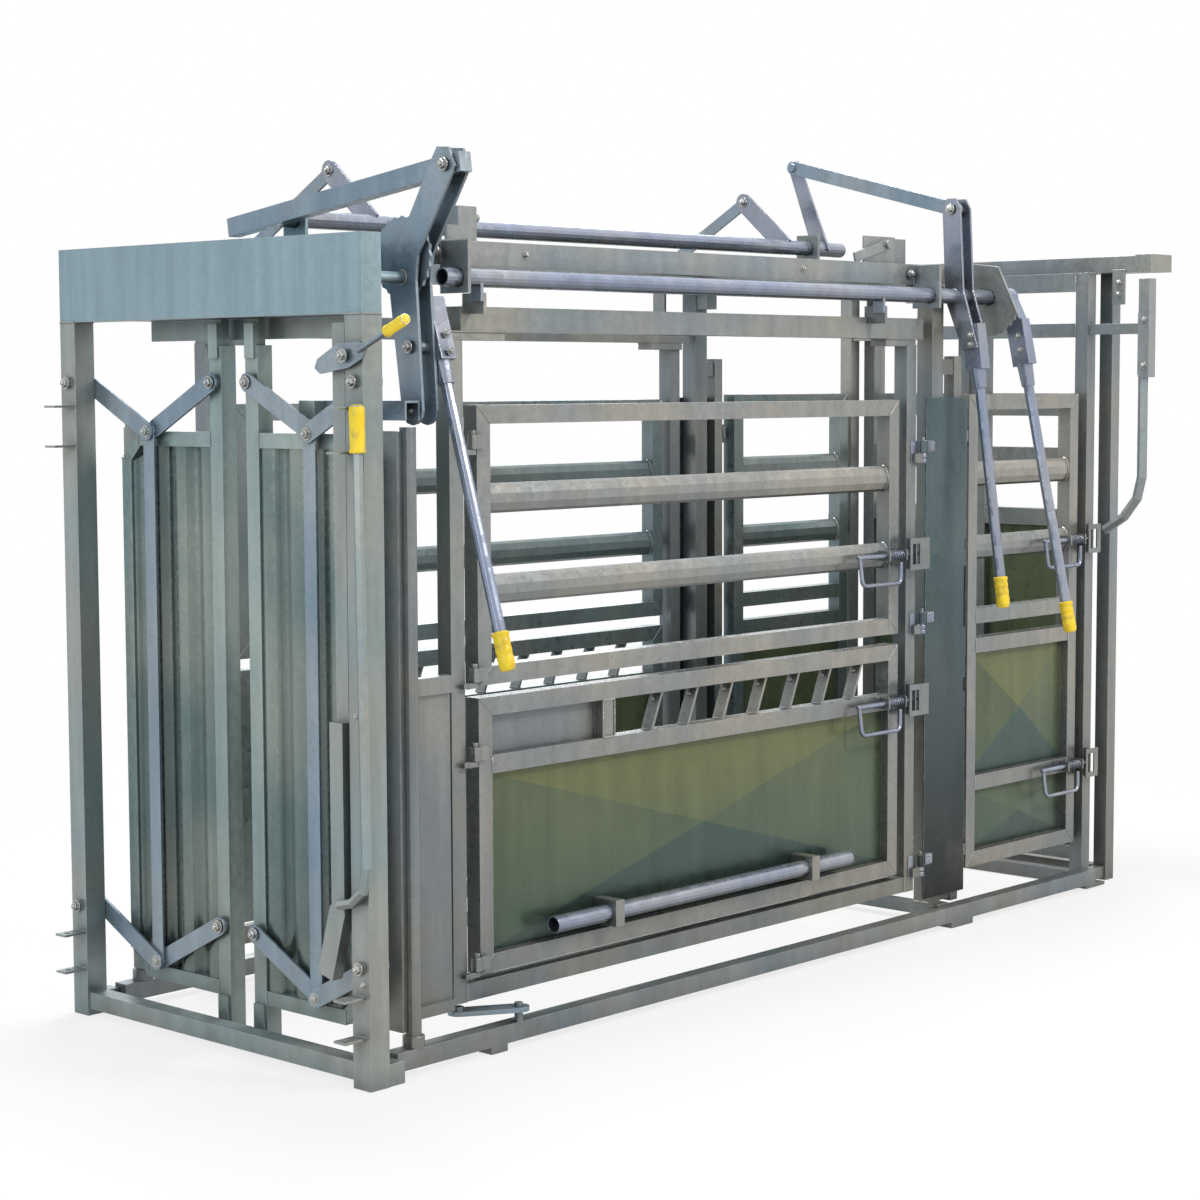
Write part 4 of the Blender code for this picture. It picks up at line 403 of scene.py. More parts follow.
def bead(piece, points, radius=0.0028, pitch=0.0045):
    """A rippled weld bead laid along a line of points."""
    points = [Vector(p) for p in points]
    rings = []
    bm = bmesh.new()
    travelled = 0.0
    for start, end in zip(points, points[1:]):
        run = end - start
        steps = max(2, int(run.length / (pitch / 2)))
        along = run.normalized()
        across = along.orthogonal().normalized()
        other = along.cross(across)
        for i in range(steps + 1):
            if rings and i == 0:
                continue
            here = start + run * i / steps
            wave = 1.0 + 0.22 * math.sin(2 * math.pi * (travelled + run.length * i / steps) / pitch)
            r = radius * wave * random.uniform(0.94, 1.06)
            rings.append([bm.verts.new(here + across * r * math.cos(a) + other * r * math.sin(a))
                          for a in [math.pi * k / 3 for k in range(6)]])
        travelled += run.length
    for low, high in zip(rings, rings[1:]):
        for i in range(6):
            j = (i + 1) % 6
            bm.faces.new((low[i], low[j], high[j], high[i]))
    bm.faces.new(list(reversed(rings[0])))
    bm.faces.new(rings[-1])
    bmesh.ops.recalc_face_normals(bm, faces=bm.faces)
    piece.take(bm)


def rounded(points, size, steps=6):
    """The same path with each corner turned into a short arc."""
    points = [Vector(p) for p in points]
    path = [points[0]]
    for before, corner, after in zip(points, points[1:], points[2:]):
        start = corner + (before - corner).normalized() * size
        end = corner + (after - corner).normalized() * size
        for i in range(steps + 1):
            t = i / steps
            path.append(start * (1 - t) ** 2 + corner * 2 * t * (1 - t) + end * t ** 2)
    path.append(points[-1])
    return path


def sweep(piece, points, radius, sides=10):
    """A round bar along a path, with slightly rounded ends."""
    path = [Vector(p) for p in points]
    bm = bmesh.new()
    rings = []
    across = None
    for i, here in enumerate(path):
        along = (path[min(i + 1, len(path) - 1)] - path[max(i - 1, 0)]).normalized()
        across = along.orthogonal() if across is None else across - along * across.dot(along)
        across.normalize()
        other = along.cross(across)
        sizes = [(1.0, 0.0)]
        if i == 0:
            sizes.insert(0, (0.75, -0.25))
        elif i == len(path) - 1:
            sizes.append((0.75, 0.25))
        for size, shift in sizes:
            centre = here + along * shift * radius
            angles = [2 * math.pi * k / sides for k in range(sides)]
            spokes = [across * math.cos(a) + other * math.sin(a) for a in angles]
            rings.append([bm.verts.new(centre + spoke * radius * size) for spoke in spokes])
    for low, high in zip(rings, rings[1:]):
        for i in range(sides):
            j = (i + 1) % sides
            bm.faces.new((low[i], low[j], high[j], high[i]))
    bm.faces.new(list(reversed(rings[0])))
    bm.faces.new(rings[-1])
    bmesh.ops.recalc_face_normals(bm, faces=bm.faces)
    piece.take(bm)


def oval_bead(piece, x, y, z, wide, tall, radius=0.003):
    """A weld round the end of an oval rail."""
    angles = [2 * math.pi * i / 20 for i in range(21)]
    ring = [at(x, y + wide / 2 * math.cos(a), z + tall / 2 * math.sin(a)) for a in angles]
    bead(piece, ring, radius, 0.008)


# Welds

UPPER_DOOR = ((0.490, 2.369), (0.978, 1.721))
LOWER_DOOR = ((0.490, 2.369), (0.200, 0.945))
VET_GATE = ((2.757, 3.420), (0.165, 1.735))
RAILS_Z = (1.473, 1.230)
DOOR_HINGES_Z = (1.625, 1.010, 0.800, 0.235)
REAR_POST_X = (3.455, 3.505)
REAR_POST_Y = (0.4855, 0.5355)
LEAF_FACE_X = 0.1026
HEADER_BOTTOM_Z = 1.950
LUGS_Z = (1.715, 1.605, 0.235, 0.130)
BEAM_TOP_Z = 2.1505


def mitres(piece, x, z, y_face):
    """Ground-down weld lines at the four mitred corners of a tube frame."""
    for cx, sx in ((x[0], 1), (x[1], -1)):
        for cz, sz in ((z[0], 1), (z[1], -1)):
            bead(piece, [at(cx + sx * 0.003, y_face, cz + sz * 0.003),
                         at(cx + sx * TUBE, y_face, cz + sz * TUBE)], 0.0013, 0.006)


def door_welds():
    for side, name in ((NEAR, "near"), (FAR, "far")):
        mid = side * (SIDE_Y - TUBE / 2)
        faces = (side * SIDE_Y, side * (SIDE_Y - TUBE))
        upper = Piece(f"welds_upper_door_{name}", f"upper_door_{name}", WELD_STEEL)
        lower = Piece(f"welds_lower_door_{name}", f"lower_door_{name}", WELD_STEEL)
        vet = Piece(f"welds_vet_gate_{name}", f"vet_gate_{name}", WELD_STEEL)
        for y in faces:
            mitres(upper, *UPPER_DOOR, y)
            mitres(lower, *LOWER_DOOR, y)
            mitres(vet, *VET_GATE, y)
        for z in RAILS_Z:
            for piece, x in ((upper, UPPER_DOOR[0]), (vet, VET_GATE[0])):
                oval_bead(piece, x[0] + TUBE + 0.001, mid, z, 0.041, 0.081)
                oval_bead(piece, x[1] - TUBE - 0.001, mid, z, 0.041, 0.081)
        # The lower door's middle rail, then the upright beside its small panel
        y = side * (SIDE_Y - 0.0005)
        inner = (LOWER_DOOR[0][0] + TUBE, LOWER_DOOR[0][1] - TUBE)
        for x in inner:
            bead(lower, [at(x, y, 0.740), at(x, y, 0.786)])
        for x in (0.978, 1.026):
            bead(lower, [at(x, y, 0.790), at(x, y, 0.893)], 0.0022)
        for z in (0.789, 0.894):
            bead(lower, [at(0.978, y, z), at(1.026, y, z)])
        for i in range(STRIP_COUNT):
            x = STRIP_FIRST_X + i * STRIP_PITCH
            for z, shift in ((0.7895, 0.002), (0.8940, 0.043)):
                for edge in (-0.0055, 0.0055):
                    bead(lower, [at(x + shift + edge, mid - 0.018, z),
                                 at(x + shift + edge, mid + 0.018, z)], 0.0024)
        # The vet gate's cross rails
        for z in ((0.978, 1.028), (0.880, 0.930), (0.420, 0.470)):
            for x in (VET_GATE[0][0] + TUBE, VET_GATE[0][1] - TUBE):
                bead(vet, [at(x, y, z[0] + 0.003), at(x, y, z[1] - 0.003)])
        for piece in (upper, lower, vet):
            piece.finish()


def side_welds():
    for side, name in ((NEAR, "near"), (FAR, "far")):
        piece = Piece(f"welds_side_frame_{name}", f"side_frame_{name}", WELD_STEEL)
        y = side * (SIDE_Y - 0.0006)
        # The flanges under the beam, the tops of the posts, the sill's ends
        for x in ((0.392, 0.600), (2.300, 2.458)):
            bead(piece, [at(x[0], y, 1.9125), at(x[1], y, 1.9125)])
        for x in (0.390, 2.410):
            bead(piece, [at(x + 0.002, y, 1.8935), at(x + 0.048, y, 1.8935)])
        for x in (0.440, 2.410):
            bead(piece, [at(x, y, 0.138), at(x, y, 0.183)])
        for z in DOOR_HINGES_Z:
            bead(piece, [at(0.4405, side * 0.541, z - 0.034), at(0.4405, side * 0.5255, z - 0.034)], 0.002)
        piece.finish()


def frame_welds():
    piece = Piece("welds_frame", "frame", WELD_STEEL)
    for side in (NEAR, FAR):
        outer = side * HALF_WIDTH
        inner = side * (HALF_WIDTH - POST)
        bead(piece, [at(-0.0004, inner, HEADER_BOTTOM_Z), at(-0.0004, outer, HEADER_BOTTOM_Z)])
        bead(piece, [at(0.0, outer, HEADER_BOTTOM_Z), at(POST, outer, HEADER_BOTTOM_Z)])
        bead(piece, [at(0.0, inner, HEADER_BOTTOM_Z), at(POST, inner, HEADER_BOTTOM_Z)])
        # The gate lugs on the outer faces of the head bail's posts
        for z in LUGS_Z:
            ends = (outer - side * 0.016, outer - side * 0.060)
            for lift in (-0.0005, 0.0065):
                bead(piece, [at(-0.0005, ends[0], z + lift), at(-0.0005, ends[1], z + lift)], 0.0022)
        bead(piece, [at(0.004, inner, 0.068), at(0.059, inner, 0.068)])
        # The middle portal's feet and top, then the rear posts
        for x in (2.540, 2.600):
            bead(piece, [at(x, side * 0.5285, 0.081), at(x, side * 0.4700, 0.081)])
        bead(piece, [at(2.540, side * 0.437, 2.0855), at(2.600, side * 0.437, 2.0855)])
        front, rear = REAR_POST_X
        y = side * REAR_POST_Y[0]
        bead(piece, [at(front, y, 2.088), at(front, y, 2.148)])
        bead(piece, [at(front, side * REAR_POST_Y[1], 2.150), at(rear, side * REAR_POST_Y[1], 2.150)])
        bead(piece, [at(front - 0.0004, y, 1.932), at(front - 0.0004, y, 1.976)])
    # The tube's bearing plates and the bearings of the centre tube
    for x in (0.385, 2.470):
        for edge in (x, x + 0.010):
            bead(piece, [at(edge, -0.5035, 2.087), at(edge, -0.5035, 2.144)], 0.0025)
    for x in (0.302, 0.352):
        bead(piece, [at(x, -0.045, BEAM_TOP_Z), at(x, 0.045, BEAM_TOP_Z)], 0.003)
    for x in (2.565, 2.575):
        bead(piece, [at(x, -0.044, BEAM_TOP_Z), at(x, 0.044, BEAM_TOP_Z)], 0.003)
    piece.finish()
    for side, name in ((NEAR, "near"), (FAR, "far")):
        leaf = Piece(f"welds_leaf_{name}", f"leaf_{name}", WELD_STEEL)
        for z in (1.650, 0.118):
            step = -0.075 if z > 1 else 0.075
            leg = -0.038 if z > 1 else 0.038
            for start, end in (((0.415, z), (0.415, z + leg)), ((0.490, z + step), (0.452, z + step)),
                               ((0.100, z), (0.100, z + leg))):
                bead(leaf, [at(LEAF_FACE_X, side * y, height) for y, height in (start, end)], 0.0022)
        leaf.finish()


# Bolts

KNEE_Y = 0.333
LINK_FRONT = 0.0665
# Height of the pivots, height of the knee, name
TOGGLES = ((1.783, 1.6506, "top"), (0.312, 0.1796, "bottom"))
# The lower knees pass close to the sill, so their heads are flat
LOWER_KNEE_FLAT = 0.38
CRANK_HUB = (-0.5385, 2.045)
LOCK_CAM_PIN = (-0.575, 1.847)
BEAM_MID_Z = 2.119


def bolts():
    for side, name in ((NEAR, "near"), (FAR, "far")):
        leaf = Piece(f"bolts_leaf_{name}", f"leaf_{name}", BOLT_STEEL, "bright_zinc")
        for pivot_z, knee_z, where in TOGGLES:
            knee = Piece(f"bolt_knee_{where}_{name}", f"toggle_outer_{where}_{name}", BOLT_STEEL,
                         "bright_zinc")
            bolt(knee, at(LINK_FRONT, side * KNEE_Y, knee_z), (-1, 0, 0), 0.0125,
                 flat=1.0 if where == "top" else LOWER_KNEE_FLAT)
            knee.finish()
            bolt(leaf, at(0.0805, side * 0.075, pivot_z), (-1, 0, 0), 0.0125)
        leaf.finish()
        strips = Piece(f"bolts_strips_{name}", f"lower_door_{name}", BOLT_STEEL, "bright_zinc")
        for i in range(STRIP_COUNT):
            x = STRIP_FIRST_X + i * STRIP_PITCH + 0.036 - 0.0045
            bolt(strips, at(x, side * 0.4955, 0.8736), (-1, 0, 0.4), 0.0075, False)
        strips.finish()
    fixed = Piece("bolts_frame", "frame", BOLT_STEEL, "bright_zinc")
    for side in (NEAR, FAR):
        for pivot_z, _, _ in TOGGLES:
            bolt(fixed, at(-0.0095, side * 0.591, pivot_z), (-1, 0, 0), 0.0120)
    # Keepers of the push bar
    for y, z in ((-0.595, 1.640), (-0.588, 0.950), (-0.600, 0.270)):
        bolt(fixed, at(-0.0002, y, z), (-1, 0, 0), 0.0075)
    # Bearing plates and the side of the near top beam
    for x in (0.420, 0.360, 2.505, 2.445):
        bolt(fixed, at(x, -0.5118, BEAM_MID_Z), (0, -1, 0), 0.0105)
    for x in (0.700, 1.900):
        bolt(fixed, at(x, -0.5037, BEAM_MID_Z), (0, -1, 0), 0.008)
    # Hanger of the gate track, backs of the rear posts
    for z in (2.075, 2.115):
        bolt(fixed, at(3.4928, -0.631, z), (-1, 0, 0), 0.008)
    for z in (0.600, 1.300, 1.800):
        for side in (NEAR, FAR):
            bolt(fixed, at(3.6672, side * 0.5095, z), (1, 0, 0), 0.008)
    # Lock cam's pin and the crank shaft's rear end
    bolt(fixed, at(-0.0242, *LOCK_CAM_PIN), (-1, 0, 0), 0.0125)
    bolt(fixed, at(0.2762, *CRANK_HUB), (1, 0, 0), 0.019)
    fixed.finish()

    crank = Piece("bolts_bail_crank", "bail_crank", BOLT_STEEL, "bright_zinc")
    for y, z, size in ((-0.700, 2.320, 0.012), (-0.566, 1.870, 0.012)):
        bolt(crank, at(0.2048, y, z), (-1, 0, 0), size)
        bolt(crank, at(0.2702, y, z), (1, 0, 0), size)
    bolt(crank, at(0.2118, *CRANK_HUB), (-1, 0, 0), 0.015)
    bolt(crank, at(0.2118, -0.5735, 1.710), (-1, 0, 0), 0.0115)
    for z in (1.905, 1.860):
        bolt(crank, at(0.2975, -0.604 - (1.935 - z) * 0.30, z), (0, -1, -0.2), 0.0075)
    crank.finish()

    squeeze = Piece("bolts_squeeze_near", "squeeze_near", BOLT_STEEL, "bright_zinc")
    bolt(squeeze, at(2.5988, -0.5505, 2.328), (-1, 0, 0), 0.012)
    bolt(squeeze, at(2.6742, -0.5505, 2.328), (1, 0, 0), 0.012)
    for z in (1.925, 1.895):
        bolt(squeeze, at(2.6048, -0.628, z), (-1, 0, 0), 0.0085)
    squeeze.finish()

    centre = Piece("bolts_squeeze_centre", "squeeze_centre", BOLT_STEEL, "bright_zinc")
    for x in (0.610, 2.450):
        bolt(centre, at(x - 0.0042, 0.180, 2.378), (-1, 0, 0), 0.012)
        bolt(centre, at(x + 0.0202, 0.180, 2.378), (1, 0, 0), 0.012)
    centre.finish()

    gate = Piece("bolts_gate_lever", "gate_lever", BOLT_STEEL, "bright_zinc")
    for z in (1.925, 1.880):
        bolt(gate, at(2.8826, -0.6195 - (1.948 - z) * 0.21, z), (-1, 0, 0), 0.0085)
    gate.finish()

    handle = Piece("bolts_rear_gate_handle", "rear_gate_handle", BOLT_STEEL, "bright_zinc")
    for z in (1.985, 1.830):
        bolt(handle, at(3.4538, -0.756, z), (-1, 0, 0), 0.0085)
    handle.finish()


# Filler plate hinges, rubber strip

HINGE_LEAF = 0.0028

def plates():
    for side, name in ((NEAR, "near"), (FAR, "far")):
        face = side * FILLER_FACE_Y
        hinge = Piece(f"butt_hinges_{name}", f"rear_filler_{name}", BRIGHT_STEEL, "bright_zinc")
        for z in FILLER_HINGES_Z:
            y = sorted((face, face + side * HINGE_LEAF))
            hinge.take(rounded_box(at(2.5075, y[0], z - 0.006), at(2.5450, y[1], z + 0.028), 0.0009))
            for dx in (0.018, 0.030):
                for dz in (0.002, 0.020):
                    screw = at(2.500 + dx, face + side * HINGE_LEAF, z + dz)
                    bolt(hinge, screw, (0, side, 0), 0.0030, False)
        hinge.finish()
        strip = Piece(f"rubber_strip_{name}", f"rear_filler_{name}", RUBBER, "galvanised_sheet")
        y = sorted((face + side * 0.0034, face - side * 0.0049))
        strip.take(rounded_box(at(2.7195, y[0], 0.975), at(2.7305, y[1], 1.175), 0.0016, 3))
        strip.finish()


# Sheets of the doors, gates and leaves

FACET_RISE = 0.0136
SKIN = 0.0004
RIB_VALLEY_X = 0.1105
RIB_CREST_X = 0.1350
RIB_STEP = 0.0245
RIB_SKIN = 0.0012
RIB_HEIGHTS = (0.154, 0.50, 1.20, 1.614)

def facet_skin(piece, corner, opposite, normal, rise):
    """A thin four-sided pyramid over a pressed sheet, between two opposite corners of one plane."""
    low, high = Vector(corner), Vector(opposite)
    normal = Vector(normal)
    across = Vector((high.x - low.x, high.y - low.y, 0.0))
    up = Vector((0.0, 0.0, high.z - low.z))
    rim = [low, low + across, high, low + up]
    bm = bmesh.new()
    peak = bm.verts.new((low + high) / 2 + normal * rise) if rise else None
    front = [bm.verts.new(p) for p in rim]
    rear = [bm.verts.new(p - normal * SKIN) for p in rim]
    for k in range(4):
        n = (k + 1) % 4
        bm.faces.new((front[k], front[n], rear[n], rear[k]))
        if rise:
            bm.faces.new((front[k], front[n], peak))
    if not rise:
        bm.faces.new(front)
    bm.faces.new(rear)
    bmesh.ops.recalc_face_normals(bm, faces=bm.faces)
    piece.take(bm)


def sheets():
    for side, name in ((NEAR, "near"), (FAR, "far")):
        out = (0, side, 0)
        back = (0, -side, 0)
        door = Piece(f"sheet_lower_door_{name}", f"lower_door_{name}", SHEET_STEEL)
        vet = Piece(f"sheet_vet_gate_{name}", f"vet_gate_{name}", SHEET_STEEL)
        gate = Piece(f"sheet_rear_gate_{name}", f"rear_gate_{name}", SHEET_STEEL)
        # The skin stands on each face of the pressed sheet, the raised one outward
        front, rear = side * 0.4972, side * 0.4930
        facet_skin(door, at(0.541, front, 0.251), at(2.318, front, 0.737), out, FACET_RISE)
        facet_skin(door, at(0.541, rear, 0.251), at(2.318, rear, 0.737), back, 0.0)
        panel = Piece(f"small_panel_{name}", f"lower_door_{name}", SIDE_STEEL)
        facet_skin(panel, at(0.541, side * 0.4932, 0.789), at(0.976, side * 0.4932, 0.894), out, 0.0)
        front, rear = side * 0.4952, side * 0.4910
        for z in ((0.216, 0.419), (0.471, 0.879)):
            facet_skin(vet, at(2.808, front, z[0]), at(3.369, front, z[1]), out, FACET_RISE)
            facet_skin(vet, at(2.808, rear, z[0]), at(3.369, rear, z[1]), back, 0.0)
        ys = (side * 0.061, side * 0.437)
        facet_skin(gate, at(3.5592, ys[0], 0.124), at(3.5592, ys[1], 1.264), (-1, 0, 0), FACET_RISE)
        facet_skin(gate, at(3.5638, ys[0], 0.124), at(3.5638, ys[1], 1.264), (1, 0, 0), 0.0)
        panel.finish()
        for piece in (door, vet, gate):
            piece.finish(False)


def ribs():
    """Rounded flutes over the head-bail leaves."""
    for side, name in ((NEAR, "near"), (FAR, "far")):
        piece = Piece(f"ribs_leaf_{name}", f"leaf_{name}", RIB_STEEL)
        start, end = 0.0975, 0.4525
        pitch = (end - start) / 3
        line = []
        steps = 72
        for i in range(steps + 1):
            y = start + (end - start) * i / steps
            t = ((y - start) / pitch) % 1.0
            if t < 0.475:
                x = RIB_VALLEY_X - 0.0045 * math.sin(math.pi * t / 0.475)
            elif t < 0.60:
                x = RIB_VALLEY_X + RIB_STEP * (t - 0.475) / 0.125
            elif t < 0.86:
                x = RIB_CREST_X + 0.0008 * math.sin(math.pi * (t - 0.60) / 0.26)
            else:
                x = RIB_CREST_X - RIB_STEP * (t - 0.86) / 0.14
            line.append((x - 0.0008, y))
        bm = bmesh.new()
        columns = [[bm.verts.new(at(x, side * y, z)) for z in RIB_HEIGHTS] for x, y in line]
        rear = [[bm.verts.new(at(x + RIB_SKIN, side * y, z)) for z in RIB_HEIGHTS] for x, y in line]
        for grid in (columns, rear):
            for a, b in zip(grid, grid[1:]):
                for k in range(len(RIB_HEIGHTS) - 1):
                    bm.faces.new((a[k], b[k], b[k + 1], a[k + 1]))
        for a, b, c, d in zip(columns, columns[1:], rear, rear[1:]):
            bm.faces.new((a[0], b[0], d[0], c[0]))
            bm.faces.new((a[-1], b[-1], d[-1], c[-1]))
        for end_front, end_rear in ((columns[0], rear[0]), (columns[-1], rear[-1])):
            for k in range(len(RIB_HEIGHTS) - 1):
                bm.faces.new((end_front[k], end_front[k + 1], end_rear[k + 1], end_rear[k]))
        bmesh.ops.recalc_face_normals(bm, faces=bm.faces)
        piece.take(bm)
        piece.finish()


# Latches and knuckle hinges

# Name, edge of the door, height, reach past the edge, body of the spring
LATCHES = (
    ("upper", 2.369, 1.232, 0.075, "upper_door_near"),
    ("lower", 2.369, 0.764, 0.075, "lower_door_near"),
    ("vet_upper", 3.420, 1.232, 0.060, "vet_gate_near"),
    ("vet_lower", 3.420, 0.445, 0.060, "vet_gate_near"),
)
LATCH_Y = -0.5475
SPRING_R = 0.0130
SPRING_TURNS = 7
SPRING_STEPS = 14
SPRING_LONG = 0.0792
WIRE_R = 0.0018
BOLT_R = 0.0080
HANDLE_R = 0.0068
HANDLE_DROP = 0.088


def latches():
    for name, edge, z, reach, door in LATCHES:
        bar = Piece(f"round_bolt_{name}", f"latch_bolt_{name}", BRIGHT_STEEL, "bright_zinc")
        sweep(bar, [at(edge - 0.243, LATCH_Y, z), at(edge - 0.1, LATCH_Y, z),
                    at(edge + reach - 0.002, LATCH_Y, z)], BOLT_R, 14)
        low = (LATCH_Y - 0.012, z - HANDLE_DROP)
        path = [at(edge - 0.236, LATCH_Y, z), at(edge - 0.236, *low), at(edge - 0.036, *low),
                at(edge - 0.036, low[0], z - 0.024)]
        sweep(bar, rounded(path, 0.020), HANDLE_R, 12)
        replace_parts(bar.finish(), f"latch_bolt_{name}")
        coil = Piece(f"round_spring_{name}", door, BRIGHT_STEEL, "bright_zinc")
        start = edge - 0.100 + 0.006 + 0.0024
        helix = []
        for i in range(SPRING_TURNS * SPRING_STEPS + 1):
            turn = 2 * math.pi * i / SPRING_STEPS
            x = start + SPRING_LONG * i / (SPRING_TURNS * SPRING_STEPS)
            helix.append(at(x, LATCH_Y + SPRING_R * math.cos(turn), z + SPRING_R * math.sin(turn)))
        sweep(coil, helix, WIRE_R, 7)
        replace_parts(coil.finish(), f"latch_spring_{name}")


def knuckles():
    """Turned barrels over the filler plate hinges."""
    for side, name in ((NEAR, "near"), (FAR, "far")):
        fixed = Piece(f"hinge_barrels_{name}", f"side_frame_{name}", BRIGHT_STEEL, "bright_zinc")
        for z in FILLER_HINGES_Z:
            for low, high in ((z - 0.040, z - 0.026), (z - 0.0245, z - 0.0105)):
                profile = [(0.0104, low), (0.0118, low + 0.0012), (0.0118, high - 0.0012), (0.0104, high)]
                fixed.take(lathe(profile, 20,
                                 Matrix.Translation(at(FILLER_HINGE_X, side * FILLER_HINGE_Y, 0.0))))
            y = sorted((side * 0.5236, side * 0.5262))
            fixed.take(rounded_box(at(2.4300, y[0], z - 0.040), at(2.4700, y[1], z + 0.030), 0.0009))
            for dz in (-0.028, 0.018):
                bolt(fixed, at(2.445, side * 0.5262, z + dz), (0, side, 0), 0.0034, False)
        fixed.finish()


# Grips

GRIP_PROFILE = (
    (0.0188, 0.0), (0.0222, 0.002), (0.0232, 0.006), (0.0222, 0.010), (0.0206, 0.014),
    (0.0206, 0.020), (0.0216, 0.024), (0.0216, 0.034), (0.0206, 0.038), (0.0206, 0.042),
    (0.0216, 0.046), (0.0216, 0.056), (0.0206, 0.060), (0.0206, 0.064), (0.0216, 0.068),
    (0.0216, 0.080), (0.0212, 0.092), (0.0200, 0.099), (0.0165, 0.104), (0.0080, 0.106),
)
GRIP_COVER = 0.092
GRIP_PAST_END = 0.009


def grip(name, node, body, start, end):
    """A moulded grip with finger bands and a domed end, over the lever's last stretch."""
    piece = Piece(name, body, YELLOW, "yellow_grip")
    start, end = Vector(start), Vector(end)
    scale = (end - start).length / GRIP_PROFILE[-1][1]
    profile = [(r, h * scale) for r, h in GRIP_PROFILE]
    piece.take(lathe(profile, 28, frame_at(start, end - start)))
    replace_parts(piece.finish(), node)


def lever_grips():
    for name, x, top, tilt, length, body in (
        ("head_bail_lever", 0.2975, (-0.5565, 1.957), math.radians(16.6), 0.930, "bail_crank"),
        ("squeeze_lever", 2.6365, (-0.6235, 1.925), math.radians(7.9), 0.870, "squeeze_near"),
        ("gate_lever", 2.905, (-0.6145, 1.948), math.radians(12.1), 1.000, "gate_lever"),
    ):
        down = Vector((0, -math.sin(tilt), -math.cos(tilt)))
        tip = at(x, *top) + down * length
        grip(f"grip_{name}", f"{name}_grip", body, tip - down * GRIP_COVER, tip + down * GRIP_PAST_END)


def sleeve(name, body, start, end, radius):
    """A yellow moulded sleeve over a handle's end."""
    piece = Piece(name, body, YELLOW, "yellow_grip")
    start, end = Vector(start), Vector(end)
    length = (end - start).length
    profile = [(radius * 0.80, 0.0), (radius * 1.06, 0.0015), (radius * 1.10, 0.006), (radius, 0.010),
               (radius, length * 0.55), (radius * 1.05, length * 0.80), (radius, length - 0.007),
               (radius * 0.84, length - 0.002), (radius * 0.45, length)]
    piece.take(lathe(profile, 20, frame_at(start, end - start)))
    piece.finish()


def handle_sleeves():
    y, z = LOCK_CAM_PIN
    start = at(-0.014, y - 0.050, z + 0.012)
    end = at(-0.040, y - 0.185, z + 0.058)
    along = (end - start).normalized()
    sleeve("sleeve_lock_cam", "lock_cam_lever", end - along * 0.0065, end + along * 0.0875, 0.0138)
    top = at(-0.026, -0.630, 1.620)
    lean = (top - at(-0.026, -0.645, 0.580)).normalized()
    sleeve("sleeve_push_bar", "push_bar", top - lean * 0.0125, top + lean * 0.1075, 0.0195)


# Studio: floor and world are white to the camera and in reflections, and dimmer in their light
# on the object

WHITE = (1.0, 1.0, 1.0, 1.0)


def make_floor():
    bm = bmesh.new()
    bmesh.ops.create_grid(bm, x_segments=1, y_segments=1, size=60.0)
    mesh = bpy.data.meshes.new("floor")
    bm.to_mesh(mesh)
    bm.free()
    g = Graph("floor")
    coords = g.add("TexCoord").outputs["Object"]
    tint = g.mix(g.ramp(g.noise(coords, 1.6, 3.0), 0.3, 0.7), (0.70, 0.68, 0.63), (0.74, 0.72, 0.67))
    g.link(tint, g.shader.inputs["Base Color"])
    g.shader.inputs["Roughness"].default_value = 0.9
    path = g.add("LightPath")
    glow = g.add("Emission")
    glow.inputs["Color"].default_value = WHITE
    glow.inputs["Strength"].default_value = 1.0
    mix = g.add("MixShader")
    distance = g.add("VectorMath", operation="LENGTH")
    g.link(coords, distance.inputs[0])
    share = g.ramp(distance.outputs["Value"], 2.2, 6.5, 0.80, 1.0)
    seen = g.math("MAXIMUM", path.outputs["Is Camera Ray"], path.outputs["Is Glossy Ray"])
    seen = g.math("MAXIMUM", seen, path.outputs["Is Transmission Ray"])
    g.link(g.math("MULTIPLY", seen, share), mix.inputs[0])
    g.link(g.shader.outputs[0], mix.inputs[1])
    g.link(glow.outputs[0], mix.inputs[2])
    g.link(mix.outputs[0], g.out.inputs["Surface"])
    mesh.materials.append(g.material)
    floor = bpy.data.objects.new("floor", mesh)
    floor.location = (0.0, 0.0, -0.0005)
    bpy.context.scene.collection.objects.link(floor)


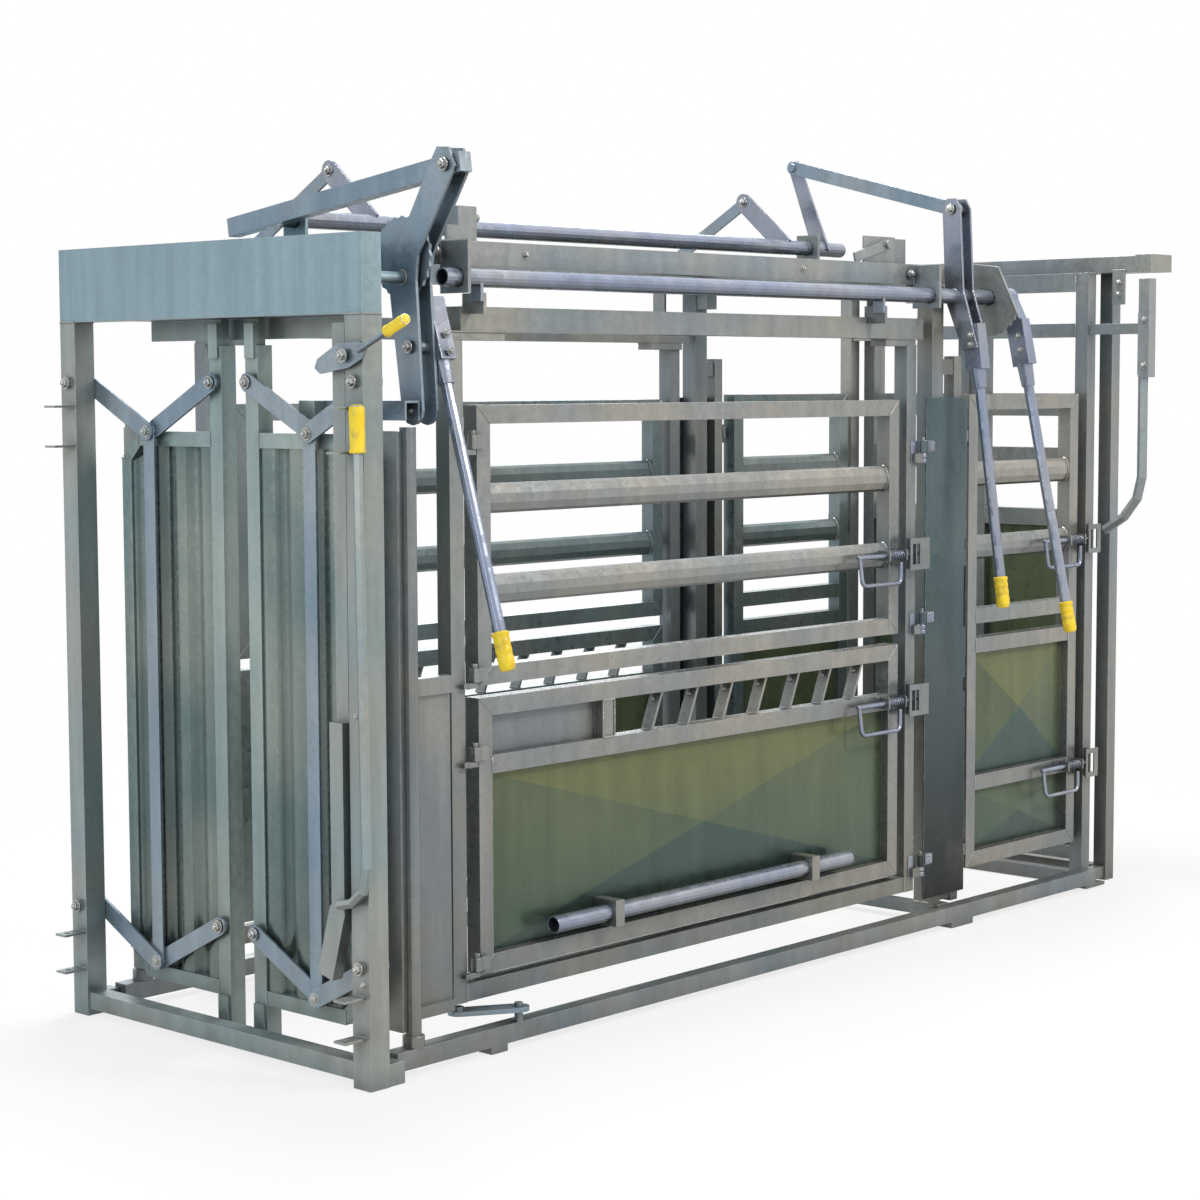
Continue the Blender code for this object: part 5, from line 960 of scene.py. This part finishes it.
def make_world():
    world = bpy.data.worlds.new("studio")
    world.use_nodes = True
    tree = world.node_tree
    background = tree.nodes["Background"]
    background.inputs["Color"].default_value = (0.80, 0.91, 1.0, 1.0)
    background.inputs["Strength"].default_value = 0.40
    seen = tree.nodes.new("ShaderNodeBackground")
    seen.inputs["Color"].default_value = WHITE
    seen.inputs["Strength"].default_value = 1.0
    path = tree.nodes.new("ShaderNodeLightPath")
    mix = tree.nodes.new("ShaderNodeMixShader")
    either = tree.nodes.new("ShaderNodeMath")
    either.operation = "MAXIMUM"
    any_of = tree.nodes.new("ShaderNodeMath")
    any_of.operation = "MAXIMUM"
    tree.links.new(path.outputs["Is Camera Ray"], either.inputs[0])
    tree.links.new(path.outputs["Is Glossy Ray"], either.inputs[1])
    tree.links.new(either.outputs[0], any_of.inputs[0])
    tree.links.new(path.outputs["Is Transmission Ray"], any_of.inputs[1])
    tree.links.new(any_of.outputs[0], mix.inputs[0])
    tree.links.new(background.outputs[0], mix.inputs[1])
    tree.links.new(seen.outputs[0], mix.inputs[2])
    tree.links.new(mix.outputs[0], tree.nodes["World Output"].inputs["Surface"])
    bpy.context.scene.world = world


def lamp(name, place, target, size, power, colour=(1.0, 1.0, 1.0)):
    data = bpy.data.lights.new(name, "AREA")
    data.shape = "DISK"
    data.size = size
    data.energy = power
    data.color = colour
    obj = bpy.data.objects.new(name, data)
    place = Vector(place)
    obj.matrix_world = frame_at(place, place - Vector(target))
    bpy.context.scene.collection.objects.link(obj)


def make_lights():
    lamp("key", (1.5, -7.0, 6.5), (0.0, 0.0, 1.0), 2.0, 520.0, (1.0, 0.91, 0.79))
    lamp("front", (-8.0, -1.5, 4.0), (0.0, 0.0, 1.1), 4.0, 220.0, (0.82, 0.94, 1.0))
    lamp("top", (0.0, 1.0, 8.0), (0.0, 0.0, 1.0), 2.5, 600.0, (0.95, 0.98, 1.0))
    lamp("back", (5.0, 6.0, 4.5), (0.0, 0.0, 1.0), 4.0, 180.0, (0.92, 0.97, 1.0))


make_camera()
dress_nodes()
door_welds()
side_welds()
frame_welds()
bolts()
plates()
sheets()
ribs()
latches()
knuckles()
lever_grips()
handle_sleeves()
make_floor()
make_world()
make_lights()
bpy.context.scene.view_settings.view_transform = "Standard"
